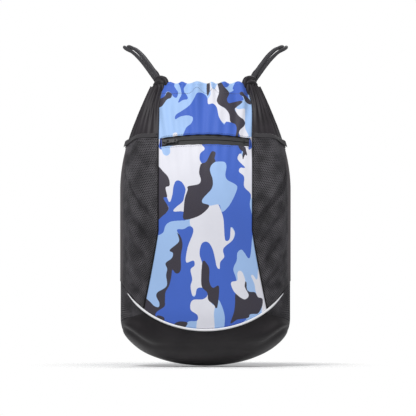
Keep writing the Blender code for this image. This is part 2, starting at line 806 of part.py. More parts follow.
def make_end_tabs(path):
    """Cloth tabs over the ends of the zip, inside the window."""
    half = ZIP_WINDOW_HALF_HEIGHT - END_TAB_TRIM
    section = block(-half, half, TAPE_OUT + GAP, TAPE_OUT + GAP + END_TAB_THICKNESS)
    for name, side in (("left", -1), ("right", 1)):
        near = side * (ZIP_HALF_CHORD + GAP)
        far = side * (ZIP_HALF_CHORD + END_TAB_REACH)
        swept("zip_end_tab_" + name, path, section, min(near, far), max(near, far), 1, "blue")


def box_mesh(low, high):
    mesh = bmesh.new()
    bmesh.ops.create_cube(mesh, size=1)
    size = Vector(high) - Vector(low)
    bmesh.ops.scale(mesh, vec=size, verts=mesh.verts)
    bmesh.ops.translate(mesh, vec=(Vector(high) + Vector(low)) / 2, verts=mesh.verts)
    return mesh


def add_guide(name, mesh, matrix):
    """A helper solid for a Boolean, left out of the finished object."""
    thing = place(name, mesh, "dark_metal")
    thing.matrix_world = matrix
    thing.hide_render = True
    thing.display_type = "WIRE"
    return thing


def extruded(outline, low, high):
    """A polygon of (x, z) points extruded along y."""
    mesh = bmesh.new()
    base = [mesh.verts.new((x, low, z)) for x, z in outline]
    face = mesh.faces.new(base)
    made = bmesh.ops.extrude_face_region(mesh, geom=[face])["geom"]
    moved = [v for v in made if isinstance(v, bmesh.types.BMVert)]
    bmesh.ops.translate(mesh, vec=(0, high - low, 0), verts=moved)
    bmesh.ops.recalc_face_normals(mesh, faces=mesh.faces)
    return mesh


def make_slider(path):
    """Top and bottom plates joined by the post between the coil rows, with the pull's bail on top."""
    matrix = path.frame(SLIDER_REST)
    half = SLIDER_LENGTH / 2
    wide = SLIDER_WIDTH / 2
    plate_low = TAPE_OUT + GAP
    plate_high = plate_low + SLIDER_PLATE
    under_high = COIL_BACK - GAP
    under_low = under_high - SLIDER_PLATE
    post = SLIDER_POST / 2
    body = place("zip_slider", box_mesh((-half, -wide, plate_low), (half, wide, plate_high)), "dark_metal")
    body.matrix_world = matrix
    lap = SLIDER_PLATE / 2
    leg = BAIL_HALF_LENGTH - BAIL_BAR
    peak = plate_high + BAIL_HEIGHT
    bend = BAIL_BAR
    bail = ((-BAIL_HALF_LENGTH, plate_high - lap), (-BAIL_HALF_LENGTH, peak - bend),
            (-BAIL_HALF_LENGTH + bend, peak), (BAIL_HALF_LENGTH - bend, peak),
            (BAIL_HALF_LENGTH, peak - bend), (BAIL_HALF_LENGTH, plate_high - lap),
            (leg, plate_high - lap), (leg, peak - BAIL_BAR), (-leg, peak - BAIL_BAR),
            (-leg, plate_high - lap))
    guides = (
        add_guide("guide_slider_under", box_mesh((-half, -wide, under_low), (half, wide, under_high)), matrix),
        add_guide("guide_slider_post", box_mesh((POST_START, -post, under_low + lap),
                                                (half - POST_END_ROOM, post, plate_low + lap)), matrix),
        add_guide("guide_slider_bail", extruded(bail, -BAIL_HALF_WIDTH, BAIL_HALF_WIDTH), matrix),
    )
    for guide in (guides[1], guides[0], guides[2]):
        union = body.modifiers.new(guide.name, "BOOLEAN")
        union.operation = "UNION"
        union.object = guide
    return body


def make_pull(path):
    """A flat tab with an eye round the bail; its origin lies on the pin line of its swing."""
    root = PULL_THICKNESS / 2
    hole_end, shoulder = PULL_STATIONS
    eye_end = BAIL_HALF_LENGTH + PULL_EYE_END
    stations = (-root, root, eye_end, PULL_LENGTH * hole_end, PULL_LENGTH * shoulder, PULL_LENGTH)
    hole = 1 - 2 * PULL_RIM / PULL_WIDTH
    rows = []
    for share in (-1, -hole, hole, 1):
        row = []
        for station, width in zip(stations, PULL_WIDTHS):
            row.append(Vector((station, share * width * PULL_WIDTH / 2, PULL_THICKNESS / 2)))
        rows.append(row)
    pull = sheet("zip_pull", rows, "dark_metal", PULL_THICKNESS,
                 lambda i, j: not (j == 1 and i in (1, 3)))
    pull.matrix_world = path.frame(SLIDER_REST) @ Matrix.Translation((0, 0, PIVOT_OUT))
    return pull


def make_lining():
    """The flat pocket behind the zip; it stands off behind the slider and lies close elsewhere."""
    top = BAG_HEIGHT - LINING_TOP_DROP
    bottom = BAG_HEIGHT - LINING_DROP
    near = CLOTH + GAP
    offsets = ((0.0, near), (0.5, near), (0.80, near + GAP))
    below = ZIP_HEIGHT - LINING_BELOW_ZIP
    rows = []
    columns = [k / 6 - 1 for k in range(13)]
    clear_tape = -TAPE_BACK + LINING_TAPE_ROOM
    clear_slider = -COIL_BACK + SLIDER_PLATE + 2 * GAP + LINING_SLIDER_ROOM
    far, tape, slider = LINING_MARKS
    marks = [(-far, near), (-tape, clear_tape), (-slider, clear_slider), (0.0, clear_slider),
             (slider, clear_slider), (tape, clear_tape), (far, near)]
    for share, inset in offsets:
        rows.append([(x, bottom + (below - bottom) * share, inset, 0) for x in columns])
    for offset, inset in marks:
        rows.append([(x, ZIP_HEIGHT + offset, inset, 1) for x in columns])
    rows.append([(x, top + LINING_TOP_LAP, near, 0) for x in columns])
    points = []
    for row in rows:
        line = []
        for share, height, inset, follows in row:
            x = share * (PANEL_HALF_WIDTH - LINING_SIDE_TRIM)
            if follows:
                height -= ZIP_ARCH * (x / ZIP_HALF_CHORD) ** 2
            line.append(raised(angle_at(x, height), height, -inset))
        points.append(line)
    return sheet("zip_pocket_lining", points, "black", LINING_CLOTH)


# ---- the corners

def ring_plate(name, inner, half_y, half_z, thickness, matrix, colour):
    """A rectangular plate with a round hole, its hole along local X."""
    count = 24
    mesh = bmesh.new()
    loops = []
    for x in (-thickness / 2, thickness / 2):
        for outer in (False, True):
            loop = []
            for k in range(count):
                turn = 2 * math.pi * k / count
                across, up = math.cos(turn), math.sin(turn)
                reach = inner
                if outer:
                    reach = 1 / max(abs(across) / half_y, abs(up) / half_z)
                loop.append(mesh.verts.new((x, reach * across, reach * up)))
            loops.append(loop)
    near_hole, near_edge, far_hole, far_edge = loops
    for a, b in ((near_hole, near_edge), (near_edge, far_edge), (far_edge, far_hole), (far_hole, near_hole)):
        for k in range(count):
            n = (k + 1) % count
            mesh.faces.new((a[k], a[n], b[n], b[k]))
    bmesh.ops.recalc_face_normals(mesh, faces=mesh.faces)
    thing = place(name, mesh, colour)
    thing.matrix_world = matrix
    return thing


def turned(name, profile, matrix, colour, closed=True):
    """A profile of (x, radius) points spun about local X."""
    mesh = bmesh.new()
    count = 20
    rings = []
    for x, radius in profile:
        if radius == 0:
            rings.append([mesh.verts.new((x, 0, 0))] * count)
            continue
        ring = []
        for k in range(count):
            turn = 2 * math.pi * k / count
            ring.append(mesh.verts.new((x, radius * math.cos(turn), radius * math.sin(turn))))
        rings.append(ring)
    pairs = list(zip(rings, rings[1:]))
    if closed:
        pairs.append((rings[-1], rings[0]))
    for a, b in pairs:
        for k in range(count):
            n = (k + 1) % count
            corners = []
            for vert in (a[k], a[n], b[n], b[k]):
                if vert not in corners:
                    corners.append(vert)
            mesh.faces.new(corners)
    bmesh.ops.recalc_face_normals(mesh, faces=mesh.faces)
    thing = place(name, mesh, colour)
    thing.matrix_world = matrix
    return thing


def make_corner(side_name, side):
    """Webbing tab, two-part eyelet and the knot, at one bottom corner behind the side seam."""
    centre = Vector((side * TAB_X, BACK_Y + GAP + TAB_LENGTH / 2, BASE_Z + TAB_HEIGHT))
    matrix = Matrix.Translation(centre)
    if side < 0:
        matrix = matrix @ Matrix.Rotation(math.pi, 4, "Z")
    barrel = EYELET_RADIUS + EYELET_WALL
    ring_plate("corner_tab_" + side_name, barrel + GAP, TAB_LENGTH / 2, TAB_WIDTH / 2, TAB_THICKNESS,
               matrix, "black")
    face = TAB_THICKNESS / 2 + GAP
    outer = face + EYELET_PLATE
    inner = -face - EYELET_PLATE
    turned("grommet_" + side_name,
           ((inner, EYELET_RADIUS), (outer, EYELET_RADIUS), (outer, EYELET_FLANGE), (face, EYELET_FLANGE),
            (face, barrel), (inner, barrel)), matrix, "metal")
    turned("grommet_washer_" + side_name,
           ((inner, barrel + GAP), (-face, barrel + GAP), (-face, EYELET_FLANGE), (inner, EYELET_FLANGE)),
           matrix, "metal")
    knot_x = outer + GAP
    middle = knot_x + KNOT_HALF_LENGTH
    profile = []
    for k in range(7):
        turn = math.pi * k / 6
        radius = KNOT_RADIUS * math.sin(turn) ** 0.8 if 0 < k < 6 else 0
        profile.append((middle - KNOT_HALF_LENGTH * math.cos(turn), radius))
    turned("cord_knot_" + side_name, profile, matrix, "cord", closed=False)


def main():
    clear_scene()
    make_front_panel()
    make_back_panel()
    make_boot()
    make_piping()
    make_seam_binding()
    for side_name, side in (("left", -1), ("right", 1)):
        make_side_panel("side_panel_" + side_name, side)
        make_inset("boot_mesh_corner_" + side_name, side)
        make_pocket("mesh_pocket_" + side_name, side)
        make_binding("pocket_binding_" + side_name, side)
        make_corner(side_name, side)
    path = ZipPath()
    make_tapes(path)
    make_stops(path)
    make_end_tabs(path)
    make_slider(path)
    make_pull(path)
    make_lining()
    front_end, back_end = make_casing_cords()
    make_strap_cords(front_end, back_end)


main()
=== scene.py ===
# %% [markdown]
# # A drawstring backpack for drum sticks
# The real thing is a nylon sack with a printed front, two plain black sides, a flat back and a
# cup-shaped boot. Two cords run through the hem, up over each shoulder, down behind the back and
# into an eyelet at each bottom corner. The measured solids are loaded first, and every soft solid
# then gets a fine cloth piece of its own in the same place.

# %% Load the frame
import math

import bmesh
import bpy
import numpy as np
from mathutils import Matrix, Vector, noise


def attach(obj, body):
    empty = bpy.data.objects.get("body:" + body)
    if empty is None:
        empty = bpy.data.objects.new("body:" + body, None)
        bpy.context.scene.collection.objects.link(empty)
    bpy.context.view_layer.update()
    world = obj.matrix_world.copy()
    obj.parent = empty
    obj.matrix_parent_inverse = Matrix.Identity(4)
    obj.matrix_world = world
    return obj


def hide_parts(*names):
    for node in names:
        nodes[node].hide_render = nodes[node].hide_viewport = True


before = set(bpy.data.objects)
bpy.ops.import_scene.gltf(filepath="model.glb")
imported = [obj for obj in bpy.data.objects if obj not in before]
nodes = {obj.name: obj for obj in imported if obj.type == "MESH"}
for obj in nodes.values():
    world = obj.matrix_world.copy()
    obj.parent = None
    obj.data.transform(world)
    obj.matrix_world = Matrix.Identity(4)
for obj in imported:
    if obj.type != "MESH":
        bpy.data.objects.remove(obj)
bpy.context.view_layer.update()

# %% [markdown]
# ## Sizes that the cloth is cut to
# Heights are above the sack's lowest point. They are the same sizes that the solids were built
# to, so each cloth piece lies where its solid does and nothing has to be fitted afterwards.

# %% Sizes
BAG_HEIGHT = 0.500
HALF_WIDTH = 0.150
HEM_HALF_WIDTH = 0.0885
BASE_Z = -0.562
BOTTOM_ROUND, BOTTOM_POWER = 0.085, 2.2
TAPER_LENGTH, TAPER_EASE = 0.190, 0.72
BACK_Y = -0.070
SKIN_BACK_Y = -0.0716
DEPTH, HEM_DEPTH, DEPTH_ROUND = 0.105, 0.047, 0.110
DEPTH_TAPER_LENGTH, DEPTH_EASE, SIDE_POWER = 0.230, 0.44, 0.77
CLOTH, MESH_CLOTH, GAP, PANEL_GAP = 0.0012, 0.0008, 0.0004, 0.0009
PANEL_HALF_WIDTH, PANEL_HEM_HALF_WIDTH = 0.082, 0.0715
PANEL_FLARE, FLARE_HEIGHT, FLARE_FOOT, GATHER_LENGTH = 0.025, 0.240, 0.104, 0.045
SEAM_HEIGHT, SEAM_RISE, SEAM_FLATTEN, SEAM_HALF_GAP = 0.0655, 0.112, 0.115, 0.0010
SEAM_TRIES = 14
PIPING_DIAMETER, PIPING_HALF_SPAN = 0.004, 0.135
INSET_START, INSET_END_HEIGHT = math.radians(42.0), 0.075
CASING_HEIGHT, CASING_FOLD, BACK_CASING_END = 0.021, 0.0047, 0.012
FRONT_CASING_END = math.radians(66.0)
ZIP_HEIGHT, ZIP_ARCH, ZIP_HALF_CHORD = 0.3995, 0.0055, 0.078
WINDOW_HALF_HEIGHT, WINDOW_PINCH, WINDOW_END = 0.009, 0.0015, 0.0018
POCKET_DROP_INNER, POCKET_DROP_OUTER = 0.090, 0.105
POCKET_OUTER_ANGLE, POCKET_SLACK = math.radians(74.0), 0.013
BINDING_HEIGHT, BINDING_CLOTH = 0.008, 0.0006
CORD_DIAMETER = 0.006
CORD_RADIUS = CORD_DIAMETER / 2
STITCH_HEIGHT = BAG_HEIGHT - CASING_HEIGHT
FOLD_START = BAG_HEIGHT - CASING_FOLD
SIDES = (("left", -1), ("right", 1))
print("hem at", BASE_Z + BAG_HEIGHT)

# %% [markdown]
# ## The sack's skin
# A filled sack is widest low down, rounds in under the boot and tapers to the drawn hem. One
# function gives any point of that surface from an angle round it and a height, so panels cut
# from the same surface meet along their seams.

# %% The skin
def ease(share, bend):
    """0 to 1, curving in up to bend and straight after it."""
    whole = 2 * bend - bend * bend
    if share <= 0:
        return 0.0
    if share < bend:
        return share * share / whole
    return (bend * bend + 2 * bend * (share - bend)) / whole


def rounding(height, over):
    """How far the bottom has rounded out to its full size at a height."""
    return 1.0 if height >= over else max(0.0, 1 - (1 - height / over) ** BOTTOM_POWER)


def half_width(height):
    share = (height - BAG_HEIGHT + TAPER_LENGTH) / TAPER_LENGTH
    side = HALF_WIDTH - (HALF_WIDTH - HEM_HALF_WIDTH) * ease(share, TAPER_EASE)
    return side * rounding(height, BOTTOM_ROUND) ** 0.5


def depth(height):
    share = (height - BAG_HEIGHT + DEPTH_TAPER_LENGTH) / DEPTH_TAPER_LENGTH
    full = DEPTH - (DEPTH - HEM_DEPTH) * ease(share, DEPTH_EASE)
    return full * rounding(height, DEPTH_ROUND) ** (1 / BOTTOM_POWER)


def skin(angle, height):
    """The point of the surface at an angle round from the front and a height."""
    across = half_width(height) * math.sin(angle)
    bulge = depth(height) * max(0.0, math.cos(angle)) ** SIDE_POWER
    return Vector((across, SKIN_BACK_Y - bulge, BASE_Z + height))


def outward(angle, height):
    """The skin's normal, from a small step each way."""
    small, lowest = 0.002, 0.0005
    left, right = max(-math.pi / 2, angle - small), min(math.pi / 2, angle + small)
    low, high = max(lowest, height - small), min(BAG_HEIGHT, height + small)
    across = skin(right, height) - skin(left, height)
    return across.cross(skin(angle, high) - skin(angle, low)).normalized()


def raised(angle, height, lift):
    return skin(angle, height) + outward(angle, height) * lift


def level_inward(angle, height):
    normal = outward(angle, height)
    return Vector((-normal.x, -normal.y, 0)).normalized()


def angle_at(x, height):
    return math.asin(max(-1.0, min(1.0, x / half_width(height))))


print("widest", 2 * half_width(0.2), "deepest", depth(0.2))

# %% [markdown]
# The seam lines are curves on that skin: the edge of the printed panel flares towards the boot,
# and the piped seam above the boot dips in the middle like a smile.

# %% Seam lines
def panel_edge(height):
    gather = max(0.0, height - BAG_HEIGHT + GATHER_LENGTH) / GATHER_LENGTH
    lower = max(0.0, FLARE_HEIGHT - height) / (FLARE_HEIGHT - FLARE_FOOT)
    narrow = (PANEL_HALF_WIDTH - PANEL_HEM_HALF_WIDTH) * gather ** 1.5
    return PANEL_HALF_WIDTH - narrow + PANEL_FLARE * lower ** 1.1


def seam_height(angle):
    turn = 1 - math.cos(angle)
    return SEAM_HEIGHT + SEAM_RISE * turn - SEAM_FLATTEN * max(0.0, turn - 0.5) ** 2


def above_seam(angle, clear):
    """The height at which the skin is a clear distance from the sloping seam."""
    inner, outer = max(0.0, angle - 0.01), min(math.pi / 2, angle + 0.01)
    height = seam_height(angle)
    run = (skin(outer, height) - skin(inner, height)).length
    return height + clear * math.hypot(1, (seam_height(outer) - seam_height(inner)) / run)


def inset_height(angle):
    share = (abs(angle) - INSET_START) / (math.pi / 2 - INSET_START)
    return seam_height(INSET_START) * (1 - share) + INSET_END_HEIGHT * share


def seam_at(x):
    """The seam's height at a distance from the middle, found by closing in on it."""
    height = SEAM_HEIGHT
    for _ in range(SEAM_TRIES):
        height = seam_height(angle_at(x, height))
    return height


def window_height(x, side):
    """The zip window's lower edge for side -1 and its upper edge for side 1."""
    share = x / ZIP_HALF_CHORD
    half = WINDOW_HALF_HEIGHT - WINDOW_PINCH * share * share
    return ZIP_HEIGHT - ZIP_ARCH * share * share + side * half


def blend(low, high, share):
    """0 below low, 1 above high and a smooth step between."""
    t = max(0.0, min(1.0, (share - low) / (high - low)))
    return t * t * (3 - 2 * t)


def hump(at, width, place):
    """A rounded ridge of height 1."""
    return math.exp(-((place - at) / width) ** 2)


print("seam from", round(seam_height(0), 4), "up to", round(seam_height(math.pi / 2), 4))

# %% [markdown]
# ## The camera and the light
# The sack is seen square on from a few metres away, as a shop would show it, under soft even
# light. A long lens keeps its sides nearly parallel. The white of the floor and the backdrop is
# in their colour and not in stronger lamps.

# %% Camera
VIEW_WIDTH = 0.7363
CAMERA_PLACE = Vector((0.0046, -12.0, -0.283))
camera = bpy.data.objects.new("camera", bpy.data.cameras.new("camera"))
camera.data.sensor_width = 36.0
camera.data.lens = 36.0 * (SKIN_BACK_Y - CAMERA_PLACE.y) / VIEW_WIDTH
camera.location = CAMERA_PLACE
camera.rotation_euler = (math.radians(90), 0, 0)
bpy.context.scene.collection.objects.link(camera)
bpy.context.scene.camera = camera
bpy.context.scene.view_settings.view_transform = "Standard"
print("lens", round(camera.data.lens, 1))

# %% Lamps
def lamp(name, place, aim, size, power):
    light = bpy.data.lights.new(name, "AREA")
    light.size, light.energy = size, power
    thing = bpy.data.objects.new(name, light)
    thing.location = place
    thing.rotation_euler = (Vector(aim) - Vector(place)).to_track_quat("-Z", "Y").to_euler()
    bpy.context.scene.collection.objects.link(thing)
    return thing


MIDDLE = (0, -0.1, -0.3)
lamps = [
    lamp("key", (-0.9, -1.9, 1.7), MIDDLE, 0.7, 46),
    lamp("fill", (1.7, -2.0, 0.5), MIDDLE, 1.4, 10),
    lamp("behind", (0.6, 2.0, 1.2), MIDDLE, 1.4, 18),
]
print("lamps", len(lamps))

# %% [markdown]
# ## A short way to write materials
# A material is a graph of nodes. Wrapping a socket in a small class lets the sums be written as
# ordinary Python, and one method makes any other node.

# %% The shader helper
class Wire:
    """A socket of a node graph that can be added, subtracted, multiplied and divided."""

    def __init__(self, graph, socket):
        self.graph, self.socket = graph, socket

    def math(self, operation, *others):
        return self.graph.node("ShaderNodeMath", {"operation": operation}, self, *others)

    def __add__(self, other):
        return self.math("ADD", other)

    def __mul__(self, other):
        return self.math("MULTIPLY", other)

    def __sub__(self, other):
        return self.math("SUBTRACT", other)

    def __rsub__(self, other):
        return self.graph.node("ShaderNodeMath", {"operation": "SUBTRACT"}, other, self)

    def __truediv__(self, other):
        return self.math("DIVIDE", other)

    def __pow__(self, other):
        return self.math("POWER", other)

    __radd__ = __add__

    def sine(self):
        return self.math("SINE")

    def step(self, low, high):
        """0 below low and 1 above high."""
        smooth = {"interpolation_type": "SMOOTHSTEP"}
        return self.graph.node("ShaderNodeMapRange", smooth, self, low, high, 0.0, 1.0)


class Graph:
    """One material's nodes."""

    def __init__(self, name, **constants):
        self.material = bpy.data.materials.new(name)
        self.material.use_nodes = True
        self.tree = self.material.node_tree
        self.surface = self.tree.nodes["Principled BSDF"]
        for socket, value in constants.items():
            self.surface.inputs[socket.replace("_", " ")].default_value = value

    def node(self, kind, settings, *values, output=0, **named):
        made = self.tree.nodes.new(kind)
        for key, value in settings.items():
            setattr(made, key, value)
        for key, value in [*enumerate(values), *named.items()]:
            self.feed(made.inputs[key], value)
        return Wire(self, made.outputs[output])

    def feed(self, socket, value):
        if isinstance(value, Wire):
            self.tree.links.new(value.socket, socket)
        elif value is not None:
            socket.default_value = value

    def set(self, **values):
        for socket, value in values.items():
            self.feed(self.surface.inputs[socket.replace("_", " ")], value)
        return self.material

    def place(self):
        return self.node("ShaderNodeTexCoord", {}, output="Object")

    def cut(self):
        """Across and along the cloth as it was cut, in millimetres."""
        across, along, _ = self.split(self.node("ShaderNodeUVMap", {"uv_map": "cut"}))
        return across * 1000, along * 1000

    def split(self, vector):
        """The three parts of a vector."""
        parted = self.node("ShaderNodeSeparateXYZ", {}, vector).socket.node
        return [Wire(self, socket) for socket in parted.outputs]

    def stored(self, name, output="Fac"):
        return self.node("ShaderNodeAttribute", {"attribute_name": name}, output=output)

    def mottle(self, scale, detail=3.0):
        return self.node("ShaderNodeTexNoise", {}, Vector=self.place(), Scale=scale, Detail=detail)

    def bands(self, scale, distortion):
        return self.node("ShaderNodeTexWave", {"wave_type": "BANDS"}, Vector=self.place(),
                         Scale=scale, Distortion=distortion)

    def mix(self, factor, first, second):
        made = self.tree.nodes.new("ShaderNodeMix")
        made.data_type = "RGBA"
        self.feed(made.inputs[0], factor)
        self.feed(made.inputs[6], first)
        self.feed(made.inputs[7], second)
        return Wire(self, made.outputs[2])

    def bump(self, height, strength, distance):
        return self.node("ShaderNodeBump", {}, Strength=strength, Distance=distance, Height=height)


def colour(red, green, blue):
    """A colour as a paint chart writes it, 0 to 255, made linear."""
    def straight(part):
        part /= 255
        return part / 12.92 if part <= 0.04045 else ((part + 0.055) / 1.055) ** 2.4
    return (straight(red), straight(green), straight(blue), 1.0)


print("shader helper ready")

# %% [markdown]
# ## Finishes
# The nylon has a fine plain weave: two sets of threads that pass over and under each other. Each
# set is a sine wave along the cloth as it was cut, and a faint mottle keeps a large plain area
# from looking like plastic.

# %% Nylon
WEAVE_PITCH = 0.9


def weave(graph):
    across, along = graph.cut()
    over = (across * (math.pi / WEAVE_PITCH)).sine()
    under = (along * (math.pi / WEAVE_PITCH)).sine()
    return over * under


def nylon(name, dark, light, roughness=0.52, painted_light=None, glint=None, glint_share=0.12):
    """Plain weave. Painted sheen and shade, if given, are laid on before the painted glint on the threads.
    """
    graph = Graph(name, Sheen_Weight=0.06, Sheen_Roughness=0.4, Specular_IOR_Level=0.35)
    threads = weave(graph)
    worn = graph.mottle(28.0)
    tone = graph.mix(worn.step(0.30, 0.72), dark, light)
    if painted_light:
        tone = painted_light(graph, tone)
    # A painted glint: the raised threads are lightened toward the light or glint colour.
    tone_and_glint = graph.mix(threads * glint_share + glint_share, tone, glint or light)
    relief = threads * 0.35 + graph.mottle(160.0) * 0.8
    return graph.set(Base_Color=tone_and_glint, Roughness=roughness + (worn - 0.5) * 0.16,
                     Normal=graph.bump(relief, 0.32, 0.0004))


black_cloth = nylon("black_nylon", colour(33, 29, 33), colour(47, 43, 47))
boot_cloth = nylon("boot_nylon", colour(26, 23, 26), colour(39, 35, 38), 0.45)
print("nylons", black_cloth.name, boot_cloth.name)

# %% [markdown]
# The camouflage print is four flat inks with crisp edges. The patches are outlines that are
# stored on the cloth as the distance to their edge, one list for each printing pass, so the edge
# stays sharp however fine the mesh is. Here the passes are inked one over the other.

# %% Printed nylon
INKS = {"sky": colour(170, 205, 252), "white": colour(241, 241, 250),
        "royal": colour(60, 104, 208), "charcoal": colour(51, 45, 58)}
INK_EDGE = 0.00022
PASSES = (("white_under", "white"), ("royal", "royal"), ("sky_over", "sky"),
          ("charcoal", "charcoal"), ("white_over", "white"))


def printed(name):
    graph = Graph(name, Specular_IOR_Level=0.3, Sheen_Weight=0.06)
    ink = INKS["sky"]
    wobble = (graph.mottle(420.0) - 0.5) * 0.0007
    for layer, shade in PASSES:
        inside = graph.stored("print_" + layer) + wobble
        ink = graph.mix(inside.step(-INK_EDGE, INK_EDGE), ink, INKS[shade])
    threads = weave(graph)
    faded = graph.mottle(22.0)
    ink = graph.mix(faded.step(0.35, 0.9) * 0.07, ink, colour(60, 70, 120))
    # A painted glint: the weave's threads are lightened a little toward white.
    ink = graph.mix((threads * 0.5 + 0.5) * 0.045, ink, colour(255, 255, 255))
    relief = threads * 0.35 + graph.mottle(150.0) * 0.7
    return graph.set(Base_Color=ink, Roughness=0.58 + (faded - 0.5) * 0.14,
                     Normal=graph.bump(relief, 0.25, 0.0004))


printed_cloth = printed("printed_nylon")
print("inks", list(INKS))

# %% [markdown]
# Sports mesh is a knitted net: rows of rounded holes, each row half a hole along from the last.
# The holes are cut in the Alpha socket, so the black side shows through them, and the strands
# between are raised.

# %% Mesh and elastic
CELL_WIDE, CELL_TALL = 3.3, 2.9


def net(name):
    graph = Graph(name, Sheen_Weight=0.05, Specular_IOR_Level=0.35)
    across, along = graph.cut()
    row = (along / CELL_TALL).math("FLOOR")
    stagger = (row * 0.5).math("FRACT")
    side = (across / CELL_WIDE + stagger).math("FRACT") - 0.5
    rise = (along / CELL_TALL).math("FRACT") - 0.5
    reach = (side * side * 1.15 + rise * rise * 0.95) ** 0.5
    strand = reach.step(0.38, 0.45)
    edge = side.math("ABSOLUTE").step(0.40, 0.5) * 0.5
    shade = graph.mix(graph.mottle(40.0).step(0.3, 0.7), colour(66, 64, 68), colour(108, 105, 110))
    return graph.set(Base_Color=shade, Roughness=0.5 + edge * 0.2, Alpha=strand,
                     Normal=graph.bump(reach + edge, 0.7, 0.0006))


def ribbed(name, dark, light, pitch, sideways=False):
    graph = Graph(name, Sheen_Weight=0.2)
    across, along = graph.cut()
    rib = ((across if sideways else along) * (2 * math.pi / pitch)).sine() * 0.5 + 0.5
    shade = graph.mix(rib * 0.8 + graph.mottle(90.0) * 0.2, dark, light)
    return graph.set(Base_Color=shade, Roughness=0.62 + rib * 0.1, Normal=graph.bump(rib, 0.6, 0.0004))


black_mesh = net("black_mesh")
elastic = ribbed("black_elastic", colour(40, 38, 41), colour(62, 59, 63), 1.5, True)
print("net and elastic", black_mesh.name, elastic.name)

# %% [markdown]
# The cords are braided: two sets of strands wind round them in opposite ways. Each tube keeps
# where it is round itself and how far along, so the braid follows every bend.

# %% Cord, piping and thread
def wound(name, dark, light, strands, pitch, roughness, depth_of=0.0005):
    graph = Graph(name, Sheen_Weight=0.15, Specular_IOR_Level=0.35)
    cosine, sine, along = graph.split(graph.stored("lay", "Vector"))
    turn = sine.math("ARCTAN2", cosine)
    climb = along * (2 * math.pi / pitch)
    one = (turn * strands + climb).sine()
    two = (turn * strands - climb).sine()
    rise = one.math("MAXIMUM", two) * 0.5 + 0.5
    shade = graph.mix(rise * 0.7 + graph.mottle(120.0) * 0.3, dark, light)
    return graph.set(Base_Color=shade, Roughness=roughness + rise * 0.1,
                     Normal=graph.bump(rise, 0.7, depth_of))


black_cord = wound("black_braid", colour(34, 33, 36), colour(66, 64, 69), 5, 0.0075, 0.55)
white_braid = wound("white_piping", colour(236, 236, 240), colour(252, 252, 254), 4, 0.0030, 0.55, 0.0002)
print("cords", black_cord.name, white_braid.name)


def threaded(name, dark, light):
    graph = Graph(name, Sheen_Weight=0.2)
    ply = graph.bands(900.0, 1.0)
    shade = graph.mix(ply, dark, light)
    return graph.set(Base_Color=shade, Roughness=0.5 + ply * 0.15)


grey_thread = threaded("grey_thread", colour(84, 87, 104), colour(112, 114, 130))
dark_thread = threaded("black_thread", colour(30, 29, 32), colour(62, 60, 65))

# %% [markdown]
# The zip's tape is a narrow herringbone, its metal parts are painted black and rub bare along
# their edges, and the eyelets are nickelled steel with fine turning marks.

# %% Zip and metal
TAPE_PITCH = 1.1


def herringbone(name):
    graph = Graph(name, Sheen_Weight=0.1)
    x, _, z = graph.split(graph.place())
    slant = (z * 1000 * 0.5).math("PINGPONG", 1.0)
    rib = ((x * 1000 + slant * 1.2) * (2 * math.pi / TAPE_PITCH)).sine() * 0.5 + 0.5
    shade = graph.mix(rib * 0.6 + graph.mottle(60.0) * 0.4, colour(34, 34, 36), colour(60, 60, 62))
    return graph.set(Base_Color=shade, Roughness=0.55 + rib * 0.12, Normal=graph.bump(rib, 0.5, 0.0003))


def metal(name, bare, coat, metallic, roughness, wear):
    graph = Graph(name)
    rubbed = graph.mottle(700.0).step(0.66 - wear, 0.80)
    marks = graph.bands(260.0, 2.0)
    shade = graph.mix(rubbed, coat, bare)
    return graph.set(Base_Color=shade, Metallic=rubbed * (1 - metallic) + metallic,
                     Roughness=roughness + marks * 0.12, Normal=graph.bump(marks, 0.15, 0.0002))


zip_tape = herringbone("zip_tape_weave")
zip_metal = metal("zip_painted_metal", colour(120, 120, 124), colour(36, 36, 38), 0.35, 0.34, 0.02)
eyelet_metal = metal("eyelet_nickel", colour(214, 214, 218), colour(188, 188, 192), 1.0, 0.28, 0.2)
print("zip and metal", zip_tape.name, zip_metal.name, eyelet_metal.name)

# %% [markdown]
# ## Tools for the pieces
# A cloth panel starts as one flat grid. Each of its points is then placed on the skin by a rule,
# its flat place is kept as a UV map in metres for the weave, and Solidify gives it thickness.

# %% Cloth panels
MERGE_WITHIN = 0.00001


def declare_cloth(thing):
    """The cloth's cut map is read into an array, and nothing is made from it."""
    spots = np.empty(2 * len(thing.data.loops))
    thing.data.uv_layers["cut"].data.foreach_get("uv", spots)


def keep(thing, body="bag", stands_for=(), held=None):
    """Let a finished piece ride on its body, and hide the solids that it stands for."""
    if held:
        declare_cloth(thing)
    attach(thing, body)
    if stands_for:
        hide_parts(*stands_for)
    return thing


def finish_mesh(mesh, name, material, smooth_angle=55.0):
    data = bpy.data.meshes.new(name)
    mesh.to_mesh(data)
    mesh.free()
    data.shade_smooth()
    data.set_sharp_from_angle(angle=math.radians(smooth_angle))
    thing = bpy.data.objects.new(name, data)
    bpy.context.scene.collection.objects.link(thing)
    data.materials.append(material)
    return thing


